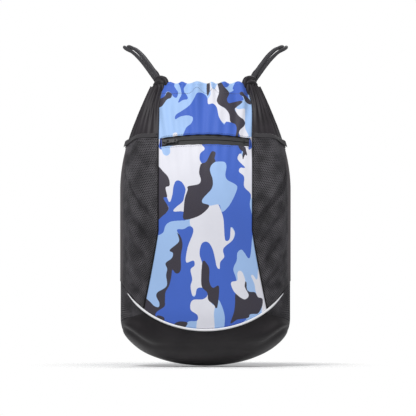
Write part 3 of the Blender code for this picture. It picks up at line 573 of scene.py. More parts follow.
def panel(name, columns, rows, place, thickness, material, kept=None, facing=None):
    """A grid of columns by rows faces; place(column, row) gives each point of its outer face."""
    mesh = bmesh.new()
    cut = mesh.loops.layers.uv.new("cut")
    bmesh.ops.create_grid(mesh, x_segments=columns, y_segments=rows, size=0.5)
    mesh.verts.ensure_lookup_table()
    spots = {}
    for vert in mesh.verts:
        spots[vert] = (round((vert.co.x + 0.5) * columns), round((vert.co.y + 0.5) * rows))
    placed = {spot: Vector(place(*spot)) for spot in spots.values()}
    flat = flat_lengths(placed, columns, rows)
    drop = []
    for face in mesh.faces:
        corner = min(spots[vert] for vert in face.verts)
        if kept and not kept(*corner):
            drop.append(face)
        for loop in face.loops:
            loop[cut].uv = flat[spots[loop.vert]]
    for vert, spot in spots.items():
        vert.co = placed[spot]
    bmesh.ops.delete(mesh, geom=drop, context="FACES")
    bmesh.ops.remove_doubles(mesh, verts=mesh.verts, dist=MERGE_WITHIN)
    mesh.normal_update()
    toward = facing or (lambda point: point - Vector((0, BACK_Y, point.z)))
    facing_out = sum(face.normal.dot(toward(face.calc_center_median())) * face.calc_area()
                     for face in mesh.faces)
    if facing_out < 0:
        bmesh.ops.reverse_faces(mesh, faces=mesh.faces)
    thing = finish_mesh(mesh, name, material)
    solid = thing.modifiers.new("thickness", "SOLIDIFY")
    solid.thickness, solid.offset = thickness, -1
    return thing


def flat_lengths(placed, columns, rows):
    """Each point's place on the flat cloth: how far along its row, and its row's mean height."""
    flat, height = {}, 0.0
    for row in range(rows + 1):
        if row:
            steps = [(placed[i, row] - placed[i, row - 1]).length for i in range(columns + 1)]
            height += sum(steps) / len(steps)
        walked = 0.0
        for column in range(columns + 1):
            if column:
                walked += (placed[column, row] - placed[column - 1, row]).length
            flat[column, row] = (walked, height)
        for column in range(columns + 1):
            flat[column, row] = (flat[column, row][0] - walked / 2, height)
    return flat


def ripple(point, scale, size):
    """A gentle uneven swell that is the same on every run."""
    return noise.noise(point * scale) * size


print("panel tools ready")

# %% [markdown]
# A cord is a ring that is extruded along its line, one step at a time. The ring is turned as
# little as possible from step to step, so the braid doesn't twist by itself.

# %% Tubes
CURVE_STEPS = 24


def tube(name, line, radii, material, sides=14, closed=False):
    """A round tube along a line of points; radii is one radius or one for each point."""
    if isinstance(radii, float):
        radii = [radii] * len(line)
    mesh = bmesh.new()
    lay = mesh.verts.layers.float_vector.new("lay")
    count = len(line)
    side = None
    walked = 0.0
    ring = bmesh.ops.create_circle(mesh, segments=sides, radius=1.0, cap_ends=False)["verts"]
    turns = [2 * math.pi * k / sides for k in range(sides)]
    for k, point in enumerate(line):
        before = line[(k - 1) % count] if closed else line[max(0, k - 1)]
        after = line[(k + 1) % count] if closed else line[min(count - 1, k + 1)]
        ahead = (after - before).normalized()
        if side is None:
            side = ahead.orthogonal().normalized()
        side = (side - ahead * side.dot(ahead)).normalized()
        up = ahead.cross(side)
        if k:
            walked += (point - line[k - 1]).length
            near = dict.fromkeys(edge for vert in ring for edge in vert.link_edges)
            edges = [edge for edge in near if all(vert in ring for vert in edge.verts)]
            made = bmesh.ops.extrude_edge_only(mesh, edges=edges)["geom"]
            fresh = [v for v in made if isinstance(v, bmesh.types.BMVert)]
            partner = {}
            for vert in fresh:
                for edge in vert.link_edges:
                    other = edge.other_vert(vert)
                    if other in ring:
                        partner[other] = vert
            ring = [partner[vert] for vert in ring]
        for vert, turn in zip(ring, turns):
            vert.co = point + (side * math.cos(turn) + up * math.sin(turn)) * radii[k]
            vert[lay] = (math.cos(turn), math.sin(turn), walked)
    rim = [edge for edge in mesh.edges if edge.is_boundary]
    if closed:
        bmesh.ops.bridge_loops(mesh, edges=rim)
    else:
        bmesh.ops.holes_fill(mesh, edges=rim, sides=sides)
    bmesh.ops.recalc_face_normals(mesh, faces=mesh.faces)
    return finish_mesh(mesh, name, material, 70.0)


def smooth_line(route, step):
    """Points evenly along a smooth curve through a route's own points."""
    points = [Vector(point) for point in route]
    ends = [points[0] * 2 - points[1], *points, points[-1] * 2 - points[-2]]
    fine = []
    for a, b, c, d in zip(ends, ends[1:], ends[2:], ends[3:]):
        fine += [between(a, b, c, d, n / CURVE_STEPS) for n in range(CURVE_STEPS)]
    fine.append(points[-1])
    total = sum((b - a).length for a, b in zip(fine, fine[1:]))
    count = max(2, round(total / step))
    line, walked = [fine[0]], 0.0
    for a, b in zip(fine, fine[1:]):
        walked += (b - a).length
        if walked >= total * len(line) / count and len(line) < count:
            line.append(b)
    return line + [fine[-1]]


def between(before, a, b, after, share):
    """A Catmull-Rom step: the point a share of the way from a to b."""
    square, cube = share * share, share ** 3
    return 0.5 * (2 * a + (b - before) * share + (2 * before - 5 * a + 4 * b - after) * square
                  + (3 * a - before - 3 * b + after) * cube)


def length_of(line):
    return sum((b - a).length for a, b in zip(line, line[1:]))


print("tube tools ready")

# %% [markdown]
# ## The cords
# Each shoulder carries two cords. One leaves the front hem and the other the back hem. They lie
# side by side over the shoulder, run down behind the sack and go through the eyelet at its bottom
# corner, where both are tied in one knot. The routes are the solids' own.

# %% Cord routes, right-hand side
FRONT_CORD_ROUTE = (
    (0.0815, -0.0885, -0.0640), (0.0840, -0.0850, -0.0560), (0.0903, -0.0720, -0.0427),
    (0.0997, -0.0550, -0.0295), (0.1102, -0.0360, -0.0159), (0.1233, -0.0160, -0.0024),
    (0.1340, 0.0005, 0.0038), (0.1377, 0.0165, 0.0042), (0.1345, 0.0350, 0.0030),
    (0.1246, 0.0520, 0.0008), (0.1125, 0.0690, -0.0092), (0.1025, 0.0790, -0.0215),
    (0.0932, 0.0840, -0.0342), (0.0842, 0.0870, -0.0470), (0.0806, 0.0870, -0.0760),
    (0.0806, 0.0825, -0.1210), (0.0846, 0.0700, -0.2020), (0.0938, 0.0444, -0.2934),
    (0.1023, 0.0109, -0.3794), (0.1082, -0.0191, -0.4324), (0.1147, -0.0438, -0.4607),
    (0.1214, -0.0553, -0.4713), (0.1305, -0.0570, -0.4771), (0.1384, -0.0566, -0.4772),
)
BACK_CORD_ROUTE = (
    (0.0850, -0.0752, -0.0630), (0.0892, -0.0748, -0.0560), (0.0957, -0.0690, -0.0467),
    (0.1051, -0.0540, -0.0335), (0.1154, -0.0350, -0.0203), (0.1277, -0.0150, -0.0076),
    (0.1390, 0.0000, 0.0000), (0.1443, 0.0165, 0.0038), (0.1413, 0.0365, 0.0010),
    (0.1300, 0.0530, -0.0048), (0.1183, 0.0690, -0.0148), (0.1081, 0.0790, -0.0265),
    (0.0990, 0.0845, -0.0386), (0.0902, 0.0878, -0.0500), (0.0874, 0.0878, -0.0770),
    (0.0874, 0.0830, -0.1210), (0.0914, 0.0702, -0.2020), (0.1002, 0.0446, -0.2926),
    (0.1087, 0.0111, -0.3786), (0.1149, -0.0188, -0.4315), (0.1213, -0.0422, -0.4593),
    (0.1266, -0.0517, -0.4687), (0.1315, -0.0560, -0.4709), (0.1384, -0.0566, -0.4708),
)


def casing_ends():
    """The last step of the cord inside each casing, on the right."""
    angles = (FRONT_CASING_END - 0.12, FRONT_CASING_END)
    front = [skin(a, FOLD_START) + level_inward(a, FOLD_START) * CASING_FOLD for a in angles]
    end = HEM_HALF_WIDTH - BACK_CASING_END
    back = [Vector((x, BACK_Y - CASING_FOLD, BASE_Z + FOLD_START)) for x in (end - 0.01, end)]
    return front, back


def cord_points(route, end, side):
    """A cord's points, from where it leaves its casing along its route."""
    ahead = (end[1] - end[0]).normalized()
    points = [end[1] + ahead * GAP, end[1] + ahead * CORD_RADIUS, *(Vector(p) for p in route)]
    return [Vector((side * p.x, p.y, p.z)) for p in points]


for route in (FRONT_CORD_ROUTE, BACK_CORD_ROUTE):
    print("route length", round(length_of([Vector(point) for point in route]), 3))

# %% [markdown]
# The knot is a real overhand knot: a tube along a trefoil line, pulled tight against the eyelet.

# %% Cords and knots
KNOT_CENTRE = Vector((0.1441, -0.057, -0.474))
KNOT_RADIUS, KNOT_SWING, KNOT_DEPTH, STRAND_RADIUS = 0.0028, 0.0019, 0.0021, 0.0029
KNOT_STEPS = 72
CORD_STEP = 0.0035


def knot(name, side):
    line = []
    for k in range(KNOT_STEPS):
        turn = 2 * math.pi * k / KNOT_STEPS
        around = KNOT_RADIUS + KNOT_SWING * math.cos(3 * turn)
        line.append(Vector((side * (KNOT_CENTRE.x + KNOT_DEPTH * math.sin(3 * turn)),
                            KNOT_CENTRE.y + around * math.cos(2 * turn),
                            KNOT_CENTRE.z + around * math.sin(2 * turn))))
    return tube(name, line, STRAND_RADIUS, black_cord, 12, closed=True)


front_end, back_end = casing_ends()
for side_name, side in SIDES:
    tied = keep(knot("overhand_knot_" + side_name, side),
                stands_for=["cord_knot_" + side_name])
    for run, route, end in (("front", FRONT_CORD_ROUTE, front_end), ("back", BACK_CORD_ROUTE, back_end)):
        points = cord_points(route, end, side)
        line = smooth_line(points, CORD_STEP)
        line.insert(1, points[1])
        cord = tube("shoulder_cord_%s_%s" % (run, side_name), line, CORD_RADIUS, black_cord)
        keep(cord, stands_for=["strap_cord_%s_%s" % (run, side_name)])
        held = {"far_end": "knot", "with_pieces": [tied]} if run == "front" else {"far_end": "object"}
        round(length_of(line), 3)
        print(cord.name, round(length_of(line), 3), "m")

# %% [markdown]
# ## The printed front
# It is one panel from the piped seam to the hem. A drawn hem gathers into upright folds that die
# out a hand's breadth below it, so the panel is lifted in soft ridges there. The window for the
# zip is left out of the grid.

# %% The gathers of the drawn hem
GATHERS = ((-0.87, 0.8, 0.10), (-0.57, 0.9, 0.09), (-0.19, 1.0, 0.15),
           (0.16, 0.8, 0.07), (0.45, 1.0, 0.10), (0.80, 1.0, 0.11))
GATHER_DEEP, GATHER_LEVEL, CREST_HIGH, CREST_LEVEL = 0.0072, 0.15, 0.0048, 0.45
LONG_FOLD, SAG, PUCKER, AT_REST = 0.0016, 0.0010, 0.0012, 0.0006


def gathered(share):
    """The height of the gathers at a share of the way out from the middle, -1 to 1."""
    return sum(size * hump(at, width, share) for at, size, width in GATHERS)


def front_lift(share, height):
    """How far the print stands off the skin: gathers at the hem, slack folds below it."""
    drawn = blend(0.395, 0.497, height) ** 1.6
    upper = blend(0.30, 0.46, height)
    lower = blend(0.10, 0.22, height) * (1 - blend(0.36, 0.39, height))
    near_seam = blend(0.0, 0.03, height - SEAM_HEIGHT)
    fold = LONG_FOLD * upper * hump(0.30, 0.16, share + 0.9 * (0.5 - height))
    sag = SAG * math.sin(9 * share + 14 * height) * lower
    pucker = PUCKER * upper * math.sin(23 * share + 60 * (0.5 - height) * share)
    gathers = GATHER_DEEP * drawn * (gathered(share) - GATHER_LEVEL)
    return gathers + (pucker + fold + sag + AT_REST) * near_seam


LOWER_ROWS, UPPER_ROWS, FOLD_ROWS, TURNED_ROWS = 150, 42, 12, 6
CASING_ROWS = FOLD_ROWS + TURNED_ROWS
FRONT_COLUMNS = 84
FRONT_ROWS = LOWER_ROWS + 1 + UPPER_ROWS + CASING_ROWS
seam_steps = [PANEL_HALF_WIDTH * 1.4 * (k / 200 - 1) for k in range(401)]
seam_table = [seam_at(x) + SEAM_HALF_GAP for x in seam_steps]


def seam_above(x):
    """The lower edge of the print, looked up because it is asked for so often."""
    return float(np.interp(x, seam_steps, seam_table))


def front_share(column):
    """The outermost column on each side is the strip beyond the zip's window."""
    window_end = 1 - WINDOW_END / PANEL_HALF_WIDTH
    if column == 0:
        return -1.0
    if column == FRONT_COLUMNS:
        return 1.0
    return window_end * (2 * (column - 1) / (FRONT_COLUMNS - 2) - 1)


def settle(share, part, low, high):
    """Angle and height of a point part of the way up between two edges that bend with x."""
    x = share * PANEL_HALF_WIDTH
    height = 0.0
    for _ in range(8):
        height = low(x) * (1 - part) + high(x) * part
        x = share * (panel_edge(height) - PANEL_GAP / 2)
    return angle_at(x, height), height


def casing_step(row):
    """Height and inset of a row of the turned casing: round the cord, then down inside."""
    if row <= FOLD_ROWS:
        turn = math.pi * row / FOLD_ROWS
        return BAG_HEIGHT - CASING_FOLD * (1 - math.sin(turn)), CASING_FOLD * (1 - math.cos(turn))
    part = (row - FOLD_ROWS) / TURNED_ROWS
    drop, stitched = 2 * CASING_FOLD, 2 * CLOTH + GAP
    return FOLD_START - (CASING_HEIGHT - CASING_FOLD) * part, drop + (stitched - drop) * part


def over_top(turned):
    """0 at both ends of the casing's fold and 1 on top of it."""
    return math.sin(math.pi * min(1.0, turned / FOLD_ROWS))


def dying_out(turned):
    """1 where the casing's fold starts and 0 where it ends."""
    return max(0.0, math.cos(math.pi * min(1.0, turned / FOLD_ROWS) / 2))


def folded(angle, row):
    """The point of the turned casing at an angle, a number of rows past the fold's start."""
    height, inset = casing_step(row)
    share = max(0.0, (BAG_HEIGHT - 2 * CASING_FOLD - height) / (CASING_HEIGHT - 2 * CASING_FOLD))
    point = skin(angle, FOLD_START).lerp(skin(angle, height), share)
    point += level_inward(angle, FOLD_START) * inset
    point.z = BASE_Z + height
    return point


def front_spot(column, row):
    share = front_share(column)
    if row <= LOWER_ROWS:
        return settle(share, row / LOWER_ROWS, seam_above, lambda x: window_height(x, -1))
    part = min(1.0, (row - LOWER_ROWS - 1) / UPPER_ROWS)
    return settle(share, part, lambda x: window_height(x, 1), lambda x: FOLD_START)


def front_place(column, row):
    share = front_share(column)
    angle, height = front_spot(column, row)
    turned = row - LOWER_ROWS - 1 - UPPER_ROWS
    if turned <= 0:
        return raised(angle, height, front_lift(share, height))
    point = folded(angle, turned)
    swell = front_lift(share, FOLD_START) * dying_out(turned)
    point -= level_inward(angle, FOLD_START) * swell
    point.z += CREST_HIGH * over_top(turned) * (gathered(share) - CREST_LEVEL)
    return point


def beside_window(column, row):
    """Whether a face is kept: the row at the window is left out, but for a strip at each end."""
    return row != LOWER_ROWS or not 0 < column < FRONT_COLUMNS - 1


front = panel("front_cloth", FRONT_COLUMNS, FRONT_ROWS, front_place, CLOTH, printed_cloth, beside_window)
keep(front, stands_for=["front_panel"], held="gathered")
print(front.name, len(front.data.polygons), "faces")

# %% [markdown]
# ## The camouflage
# A camouflage screen is a set of smooth-edged patches. Each is drawn here by a few points across
# and up the panel, in millimetres, and rounded into a closed curve. Every point of the cloth then
# stores how far inside or outside the patches of each pass it lies.

# %% Patches of each pass
PATCHES = {
    "white_under": (
        ((4, 500), (9, 501), (11, 492), (16, 488), (21, 498), (24, 498), (25, 482), (21, 469), (24, 461),
         (35, 454), (44, 444), (48, 432), (37, 428), (30, 430), (24, 439), (20, 456), (13, 463), (4, 462),
         (4, 470), (9, 479), (8, 488)),
        ((51, 458), (58, 453), (69, 454), (70, 444), (70, 420), (76, 405), (63, 400), (54, 400),
         (57, 414), (62, 422), (64, 428), (62, 435), (55, 441), (54, 449)),
        ((68, 396), (88, 396), (88, 292), (80, 298), (74, 306), (64, 317), (64, 334), (56, 343),
         (54, 352), (68, 352), (54, 364), (56, 373), (62, 368), (66, 374)),
        ((-90, 396), (6, 396), (3, 382), (-5, 375), (-6, 364), (-2, 357), (-4, 345), (-4, 330), (-8, 320),
         (-28, 314), (-30, 306), (-34, 291), (-34, 272), (-57, 270), (-74, 280), (-90, 300)),
        ((26, 286), (34, 273), (36, 257), (38, 225), (40, 221), (41, 227), (42, 246), (51, 237),
         (48, 223), (36, 208), (35, 200), (36, 190), (30, 182), (28, 172), (20, 172), (12, 200), (4, 214),
         (0, 216), (-4, 213), (-7, 197), (-3, 184), (-4, 150), (-2, 138), (-15, 137), (-17, 127),
         (-22, 125), (-26, 130), (-27, 142), (-25, 154), (-28, 165), (-27, 172), (-22, 178), (-24, 186),
         (-35, 184), (-34, 208), (-31, 220), (-24, 229), (-24, 245), (-27, 250), (-25, 262), (-4, 275),
         (7, 285)),
        ((5, 128), (7, 118), (13, 109), (17, 107), (15, 94), (14, 60), (-14, 60), (-15, 88), (-26, 100),
         (-25, 117), (-4, 121)),
    ),
    "royal": (
        ((-32, 398), (54, 398), (56, 418), (52, 427), (37, 431), (33, 426), (24, 439), (20, 456),
         (13, 463), (5, 462), (3, 474), (-4, 481), (-14, 482), (-19, 474), (-27, 461), (-40, 451),
         (-52, 443), (-53, 435), (-44, 440), (-31, 442), (-22, 438), (-25, 428), (-35, 418)),
        ((-72, 501), (-54, 504), (-55, 495), (-52, 489), (-48, 482), (-51, 473), (-57, 476), (-61, 482),
         (-68, 484), (-74, 472), (-80, 468), (-76, 486)),
        ((-48, 503), (-32, 503), (-35, 495), (-38, 490), (-37, 483), (-33, 478), (-31, 471), (-40, 469),
         (-48, 464), (-46, 471), (-42, 479), (-43, 486), (-45, 494)),
        ((54, 502), (65, 503), (71, 493), (74, 482), (76, 472), (73, 470), (68, 480), (62, 483),
         (60, 480), (65, 476), (67, 469), (58, 467), (49, 464), (42, 462), (36, 471), (40, 475),
         (39, 481), (46, 484), (50, 487), (48, 490)),
        ((28, 500), (41, 502), (40, 493), (31, 492)),
        ((-51, 327), (-42, 325), (-35, 313), (-37, 300), (-40, 290), (-52, 280), (-56, 273), (-40, 273),
         (-34, 267), (-34, 258), (-44, 257), (-61, 255), (-70, 248), (-75, 235), (-90, 233), (-90, 268),
         (-74, 267), (-65, 276), (-66, 283), (-76, 296), (-69, 300), (-63, 289), (-58, 302), (-56, 317)),
        ((-4, 396), (60, 396), (64, 377), (59, 373), (57, 364), (71, 349), (62, 350), (59, 343),
         (68, 334), (68, 317), (78, 306), (80, 300), (78, 285), (82, 266), (84, 247), (82, 225),
         (79, 195), (75, 191), (69, 200), (63, 206), (56, 200), (55, 187), (49, 172), (54, 155),
         (58, 129), (58, 107), (54, 86), (46, 56), (33, 56), (34, 88), (26, 114), (14, 128), (2, 161),
         (-6, 184), (-10, 197), (-9, 210), (-5, 218), (1, 220), (7, 217), (13, 206), (17, 190), (20, 176),
         (25, 172), (26, 184), (33, 193), (31, 204), (34, 211), (48, 223), (52, 236), (45, 246),
         (43, 226), (38, 221), (34, 226), (32, 257), (28, 273), (20, 290), (8, 300), (4, 330), (2, 350),
         (-5, 356), (-10, 364), (-9, 375), (-1, 383)),
        ((-50, 241), (-38, 242), (-29, 247), (-22, 244), (-22, 234), (-31, 210), (-34, 184), (-21, 187),
         (-19, 178), (-26, 171), (-23, 154), (-26, 142), (-23, 126), (-18, 124), (-14, 138), (-2, 138),
         (4, 127), (-4, 119), (-23, 117), (-26, 101), (-14, 91), (-15, 81), (-31, 79), (-44, 60),
         (-60, 60), (-76, 70), (-94, 80), (-92, 98), (-78, 104), (-74, 118), (-73, 129), (-67, 139),
         (-63, 146), (-63, 160), (-61, 170), (-53, 180), (-48, 195), (-46, 215), (-46, 230)),
        ((44, 84), (72, 86), (62, 76), (46, 70)),
        ((-77, 402), (-80, 401), (-83, 396), (-83, 389), (-80, 383), (-76, 382), (-76, 392)),
        ((77, 402), (80, 401), (83, 396), (83, 389), (80, 383), (76, 382), (76, 392)),
    ),
    "sky_over": (
        ((18, 360), (33, 360), (37, 352), (35, 337), (39, 328), (52, 321), (56, 314), (49, 296),
         (40, 281), (29, 272), (24, 285), (7, 283), (-5, 288), (-4, 296), (11, 313), (12, 328), (8, 345),
         (11, 356)),
        ((-77, 397), (-52, 396), (-56, 389), (-62, 386), (-62, 376), (-68, 371), (-75, 376)),
        ((11, 504), (20, 504), (17, 491), (13, 489)),
    ),
    "charcoal": (
        ((-66, 484), (-59, 480), (-61, 473), (-68, 470), (-77, 458), (-88, 456), (-86, 468), (-73, 475),
         (-69, 481)),
        ((3, 503), (7, 503), (8, 491), (7, 483), (4, 476), (2, 486)),
        ((20, 505), (28, 500), (33, 493), (42, 482), (38, 471), (41, 464), (48, 465), (62, 468),
         (65, 465), (54, 456), (52, 452), (59, 441), (67, 435), (70, 428), (67, 422), (60, 415),
         (57, 400), (52, 400), (55, 416), (53, 426), (44, 431), (42, 444), (35, 454), (24, 461),
         (20, 469), (24, 482), (23, 491)),
        ((60, 482), (65, 484), (69, 479), (79, 469), (80, 461), (71, 466), (67, 475), (62, 478)),
        ((-90, 350), (-72, 341), (-64, 330), (-63, 318), (-70, 315), (-67, 299), (-74, 297), (-66, 283),
         (-65, 276), (-74, 266), (-90, 262)),
        ((12, 379), (18, 376), (16, 366), (18, 361), (11, 355), (8, 345), (13, 328), (11, 313), (-4, 296),
         (-5, 288), (7, 283), (-4, 270), (-19, 262), (-38, 259), (-38, 276), (-36, 296), (-31, 311),
         (-31, 317), (-12, 321), (-8, 329), (-11, 341), (-8, 356), (1, 360), (8, 373)),
        ((-50, 236), (-44, 230), (-40, 215), (-43, 195), (-43, 172), (-48, 164), (-54, 166), (-58, 172),
         (-60, 157), (-64, 142), (-70, 131), (-71, 116), (-72, 106), (-86, 96), (-92, 84), (-110, 92),
         (-108, 120), (-98, 115), (-90, 107), (-82, 105), (-81, 113), (-86, 123), (-84, 131), (-68, 142),
         (-69, 161), (-67, 172), (-70, 182), (-59, 191), (-57, 200), (-63, 205), (-49, 217), (-46, 224)),
        ((-86, 90), (-74, 88), (-72, 82), (-82, 78)),
        ((-54, 76), (-43, 80), (-31, 77), (-40, 66), (-54, 66)),
        ((-5, 185), (3, 181), (7, 171), (7, 150), (13, 139), (23, 143), (24, 129), (21, 105), (18, 103),
         (15, 109), (5, 118), (3, 131), (-7, 144)),
        ((68, 148), (72, 149), (73, 137), (78, 132), (87, 131), (92, 124), (101, 119), (100, 107),
         (93, 94), (86, 93), (78, 92), (75, 86), (56, 83), (44, 76), (50, 96), (52, 112), (53, 129),
         (63, 121), (71, 120), (76, 127), (69, 137)),
        ((58, 389), (69, 387), (72, 379), (74, 369), (70, 373), (66, 364), (65, 373), (66, 378),
         (61, 382)),
    ),
    "white_over": (
        ((59, 169), (65, 166), (70, 152), (69, 141), (76, 126), (71, 119), (63, 121), (50, 133),
         (45, 148), (56, 152), (56, 163)),
        ((80, 160), (84, 161), (91, 153), (93, 173), (99, 154), (110, 124), (110, 92), (99, 95),
         (101, 118), (92, 123), (88, 134), (86, 146)),
        ((-57, 410), (-52, 412), (-49, 409), (-51, 404), (-57, 404)),
        ((58, 371), (61, 375), (64, 372), (64, 366), (60, 365)),
    ),
}
print("patches", {name: len(group) for name, group in PATCHES.items()})


# %% Ink the cloth
def rounded(outline, steps=5):
    """A closed smooth curve through an outline's points, in metres."""
    points = [Vector((x, h)) / 1000 for x, h in outline]
    turned = [points[k:] + points[:k] for k in (-1, 0, 1, 2)]
    return np.array([between(*four, n / steps) for four in zip(*turned) for n in range(steps)])


def inside_by(spots, curve):
    """How far each spot lies inside a closed curve; outside it is negative."""
    reach = np.full(len(spots), 1e9)
    crossed = np.zeros(len(spots), bool)
    for a, b in zip(curve, np.roll(curve, -1, axis=0)):
        run = b - a
        share = np.clip(((spots - a) @ run) / max(run @ run, 1e-18), 0, 1)
        reach = np.minimum(reach, np.linalg.norm(spots - a - share[:, None] * run, axis=1))
        spans = (a[1] > spots[:, 1]) != (b[1] > spots[:, 1])
        if run[1]:
            crossed ^= spans & (spots[:, 0] < a[0] + (spots[:, 1] - a[1]) / run[1] * run[0])
    return np.where(crossed, reach, -reach)


def ink(thing):
    spots = np.array([(v.co.x, v.co.z - BASE_Z) for v in thing.data.vertices])
    for layer, outlines in PATCHES.items():
        inside = np.max([inside_by(spots, rounded(outline)) for outline in outlines], axis=0)
        store = thing.data.attributes.new("print_" + layer, "FLOAT", "POINT")
        store.data.foreach_set("value", inside.astype(np.float32))


ink(front)
print("inked", front.name)

# %% [markdown]
# ## The black sides
# Each side runs from the print round to the back. The hem's cord pulls it together at the top
# corner, so long folds fan out from there. A fold is a rounded ridge that runs down the panel at
# a fixed share of its width, and widens as the panel does.

# %% Side cloths
SIDE_COLUMNS, SIDE_ROWS, NOTCH_ROWS = 56, 150, 8
SIDE_TOP = SIDE_ROWS + NOTCH_ROWS
FAN = ((0.10, 0.050, 0.9), (0.24, 0.045, 1.0), (0.37, 0.040, 0.7), (0.50, 0.050, 1.0),
       (0.65, 0.045, 0.75), (0.80, 0.05, 0.9), (0.93, 0.035, 0.6))
FAN_DEEP, FAN_BELOW, SEAM_RIDGE = 0.0062, 0.0006, 0.0009


def even_shares(first, count):
    """Shares of the way round to the side seam that split the skin into equal lengths."""
    fine = [first + (math.pi / 2 - first) * k / 400 for k in range(401)]
    walked = [0.0]
    for a, b in zip(fine, fine[1:]):
        walked.append(walked[-1] + (skin(b, 0.30) - skin(a, 0.30)).length)
    targets = [walked[-1] * k / count for k in range(count + 1)]
    return [float(np.interp(target, walked, [k / 400 for k in range(401)])) for target in targets]


side_shares = even_shares(math.radians(36), SIDE_COLUMNS)


def mark_painted_sheen_and_shade(thing):
    """Stores 1 for painted sheen on the strip next to the side seam, -1 for painted shade under the pocket,
    0 above.
    """
    store = thing.data.attributes.new("strip", "FLOAT", "POINT")
    marks = []
    for vert in thing.data.vertices:
        height = vert.co.z - BASE_Z
        out = abs(vert.co.x) / max(0.02, half_width(min(height, BAG_HEIGHT)))
        # Painted sheen: the strip next to the side seam, seen at a grazing angle, is made paler.
        sheen_by_seam = blend(0.945, 0.965, out) * blend(0.10, 0.20, height) * (1 - blend(0.385, 0.40, height))
        # Painted shade: the cloth under the pocket's net is made darker.
        under = (1 - blend(0.935, 0.950, out)) * (1 - blend(0.395, 0.402, height))
        marks.append(sheen_by_seam - under)
    store.data.foreach_set("value", marks)


def painted_sheen_and_shade(graph, tone):
    """Painted sheen next to the side seam and painted shade under the pocket, over the cloth's tone."""
    strip = graph.stored("strip")
    # Painted sheen, paler next to the side seam.
    tone = graph.mix(strip.step(0.0, 1.0), tone, colour(80, 72, 76))
    # Painted shade, near black under the pocket.
    return graph.mix((strip * -1).step(0.0, 1.0), tone, colour(10, 9, 11))


# The side cloth carries painted sheen, painted shade and a painted glint on its threads.
side_nylon = nylon("side_nylon", colour(34, 30, 34), colour(48, 43, 48), painted_light=painted_sheen_and_shade,
                   glint=colour(70, 65, 70), glint_share=0.10)


def side_spot(column, row):
    """Angle and height of a point of the side, whose front edge follows the print's."""
    share = side_shares[column]
    angle, height = 0.6, STITCH_HEIGHT
    for _ in range(8):
        first = angle_at(panel_edge(height) + PANEL_GAP / 2, height)
        angle = first + share * (math.pi / 2 - first)
        low = seam_height(angle) + SEAM_HALF_GAP
        if row <= SIDE_ROWS:
            height = low + (STITCH_HEIGHT - low) * row / SIDE_ROWS
        else:
            top = FOLD_START - 0.0035 * blend(FRONT_CASING_END, FRONT_CASING_END + 0.15, angle)
            part = min(1.0, (row - SIDE_ROWS) / NOTCH_ROWS)
            height = STITCH_HEIGHT + (top - STITCH_HEIGHT) * part
    return angle, height


def side_lift(column, height):
    """The fan of folds under the corner, and a low ridge on each side of the strip below."""
    part = column / SIDE_COLUMNS
    drawn = blend(0.385, 0.495, height)
    fan = sum(size * hump(at + 0.10 * (0.5 - height), wide, part) for at, wide, size in FAN)
    edge = blend(0.0, 0.06, part) * blend(0.0, 0.03, 1 - part)
    low = blend(0.0, 0.03, height - 0.07)
    seams = hump(0.955, 0.012, part) + hump(0.90, 0.010, part)
    plain = low * (1 - drawn)
    return (FAN_DEEP * drawn + FAN_BELOW * plain) * fan * edge + SEAM_RIDGE * plain * seams


side_open = next(column for column in range(SIDE_COLUMNS + 1)
                 if side_spot(column, SIDE_TOP)[0] > FRONT_CASING_END) - 1


def make_side(name, side):
    def place(column, row):
        angle, height = side_spot(column, row)
        turned = row - SIDE_TOP
        lift = side_lift(column, height)
        if turned <= 0:
            return raised(side * angle, height, lift)
        inward = level_inward(side * angle, FOLD_START)
        return folded(side * angle, turned) - inward * lift * dying_out(turned)

    def kept(column, row):
        return row < SIDE_TOP or column < side_open
    return panel(name, SIDE_COLUMNS, SIDE_TOP + CASING_ROWS, place, CLOTH, side_nylon, kept)


for side_name, side in SIDES:
    cloth = keep(make_side("side_cloth_" + side_name, side),
                 stands_for=["side_panel_" + side_name], held="gathered")
    mark_painted_sheen_and_shade(cloth)
    print(cloth.name, len(cloth.data.polygons), "faces")

# %% [markdown]
# The back lies flat against the wearer. It is one plain panel with its own length of casing
# between the corners, and its cloth is a little slack near the hem.

# %% Back cloth
BACK_COLUMNS, BACK_ROWS = 72, 130
BACK_INNER = round(BACK_COLUMNS * BACK_CASING_END / HEM_HALF_WIDTH / 2)
BACK_SAG, BACK_GATHER = 0.0014, 0.0022


def back_height(row):
    """Rows lie closer together low down, where the outline curves most."""
    return FOLD_START * (row / BACK_ROWS) ** 1.25


def back_place(column, row):
    across = 1 - 2 * column / BACK_COLUMNS
    turned = row - BACK_ROWS
    if turned > 0:
        height, inset = casing_step(turned)
        height -= BACK_SAG * over_top(turned) * (1 - across ** 4)
        return Vector((across * HEM_HALF_WIDTH, BACK_Y - inset, BASE_Z + height))
    height = back_height(row)
    x = across * half_width(height)
    drawn = blend(0.40, 0.49, height) * (1 - abs(across) ** 4)
    swell = BACK_GATHER * drawn * (0.5 + 0.5 * math.sin(46 * across)) + 0.0008 * (1 - drawn)
    inside = blend(0.0, 0.06, 1 - abs(across)) * blend(0.0, 0.04, height)
    y = BACK_Y + inside * (swell + ripple(Vector((x, height, 0)), 14.0, 0.0010) * (1 - drawn))
    return Vector((x, y, BASE_Z + height))


def back_kept(column, row):
    """The casing is shorter than the panel is wide."""
    return row < stitch_row or BACK_INNER <= column < BACK_COLUMNS - BACK_INNER


def backward(point):
    """The back's outer face looks backward; its turned-in casing isn't counted."""
    return Vector((0, 1, 0)) if point.y > BACK_Y - 0.003 else Vector((0, 0, 0))


stitch_row = next(row for row in range(BACK_ROWS) if back_height(row) > STITCH_HEIGHT)
back = panel("back_cloth", BACK_COLUMNS, BACK_ROWS + CASING_ROWS, back_place, CLOTH, black_cloth,
             back_kept, facing=backward)
keep(back, stands_for=["back_panel"], held="gathered")
print(back.name, len(back.data.polygons), "faces")

# %% [markdown]
# ## The boot
# The boot is a cup of stiffer cloth. Its top corners are pinched where the side seams end, and a
# soft crease runs in from each pinched corner and across the front.

